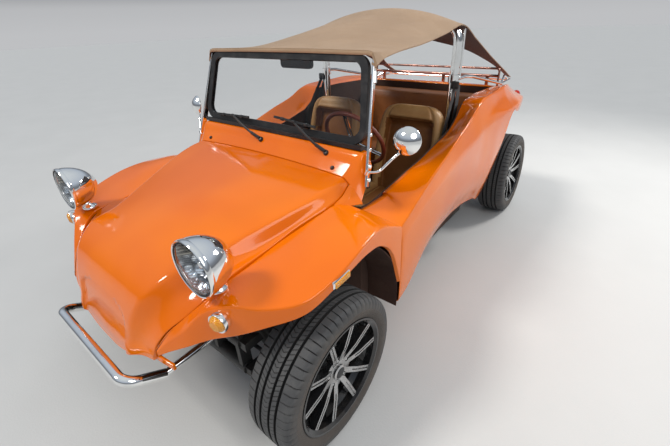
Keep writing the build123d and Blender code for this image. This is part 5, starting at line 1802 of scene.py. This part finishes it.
def studio_ground():
    """A wide floor, which is stage and no piece."""
    half = 60.0
    mesh = bpy.data.meshes.new("floor")
    mesh.from_pydata([(-half, -half, 0), (half, -half, 0), (half, half, 0), (-half, half, 0)], [],
                     [(0, 1, 2, 3)])
    mesh.materials.append(finish("studio_floor"))
    floor = bpy.data.objects.new("floor", mesh)
    bpy.context.scene.collection.objects.link(floor)


def studio_world():
    """Pale sky above a darker horizon, so that chrome has something to show."""
    stops = ((0.0, (0.74, 0.75, 0.77)), (0.045, (0.68, 0.69, 0.71)), (0.10, (0.20, 0.21, 0.23)),
             (0.26, (0.28, 0.31, 0.36)), (0.50, (0.62, 0.70, 0.82)), (1.0, (0.90, 0.96, 1.0)))
    sky = Surface(bpy.data.worlds.new("studio"))
    ramp = sky.node("ShaderNodeValToRGB", None, {0: sky.axis(2, "Generated")})
    elements = ramp.color_ramp.elements
    elements[0].position, elements[1].position = stops[0][0], stops[-1][0]
    for position, _ in stops[1:-1]:
        elements.new(position)
    for element, (_, tint) in zip(elements, stops):
        element.color = (*tint, 1.0)
    light = sky.node("ShaderNodeBackground", None, {"Color": ramp.outputs[0], "Strength": 0.70})
    sky.node("ShaderNodeOutputWorld", None, {"Surface": light.outputs[0]})
    bpy.context.scene.world = sky.owner


def photo_camera(settings):
    """The scene's camera, at the photograph's place."""
    a, e, roll = settings.heading, settings.fall, settings.roll
    back = Vector((sin(a) * cos(e), -cos(a) * cos(e), sin(e)))
    right = Vector((cos(a), sin(a), 0))
    up = back.cross(right)
    turned_right = right * cos(roll) + up * sin(roll)
    turned_up = up * cos(roll) - right * sin(roll)
    data = bpy.data.cameras.new("photo_camera")
    data.lens, data.sensor_width, data.sensor_fit = settings.lens, 36.0, "HORIZONTAL"
    data.clip_start, data.clip_end = 0.05, 100.0
    camera = bpy.data.objects.new("photo_camera", data)
    camera.matrix_world = Matrix.Translation(Vector(settings.eye)) @ Matrix(
        (turned_right, turned_up, back)).transposed().to_4x4()
    bpy.context.scene.collection.objects.link(camera)
    bpy.context.scene.camera = camera


class BUGGY_OT_stage(BuggyOperator, bpy.types.Operator):
    """Set the floor, the lights and the photograph's camera"""
    bl_idname = "buggy.stage"
    bl_label = "Studio"

    def execute(self, context):
        context.scene.view_settings.view_transform = "Standard"
        studio_ground()
        studio_world()
        studio_lights()
        photo_camera(context.scene.buggy_stage)
        return {"FINISHED"}


class BUGGY_PT_panel(bpy.types.Panel):
    """Buttons and settings of the dune buggy"""
    bl_idname = "BUGGY_PT_panel"
    bl_label = "Dune Buggy"
    bl_space_type = "VIEW_3D"
    bl_region_type = "UI"
    bl_category = "Buggy"

    def draw(self, context):
        layout = self.layout
        for operator in operators:
            layout.operator(operator.bl_idname)
        for name, group in groups.items():
            box = layout.box()
            for key in group.__annotations__:
                box.prop(getattr(context.scene, name), key)


groups = {
    "buggy_body": BuggyBodySettings,
    "buggy_canvas": BuggyCanvasSettings,
    "buggy_tyres": BuggyTyreSettings,
    "buggy_stage": BuggyStageSettings,
}
operators = (BUGGY_OT_finishes, BUGGY_OT_body, BUGGY_OT_canvas, BUGGY_OT_seats, BUGGY_OT_wheels,
             BUGGY_OT_lamps, BUGGY_OT_cabin, BUGGY_OT_fittings, BUGGY_OT_stage)


def register():
    for item in (*groups.values(), *operators, BUGGY_PT_panel):
        bpy.utils.register_class(item)
    for name, group in groups.items():
        setattr(bpy.types.Scene, name, PointerProperty(type=group))


def unregister():
    for name in groups:
        delattr(bpy.types.Scene, name)
    for item in (BUGGY_PT_panel, *reversed(operators), *reversed(list(groups.values()))):
        bpy.utils.unregister_class(item)


def main():
    """Build every piece and the studio."""
    register()
    bpy.ops.buggy.finishes()
    bpy.ops.buggy.body()
    bpy.ops.buggy.canvas()
    bpy.ops.buggy.seats()
    bpy.ops.buggy.wheels()
    bpy.ops.buggy.lamps()
    bpy.ops.buggy.cabin()
    bpy.ops.buggy.fittings()
    bpy.ops.buggy.stage()


if __name__ == "__main__":
    main()
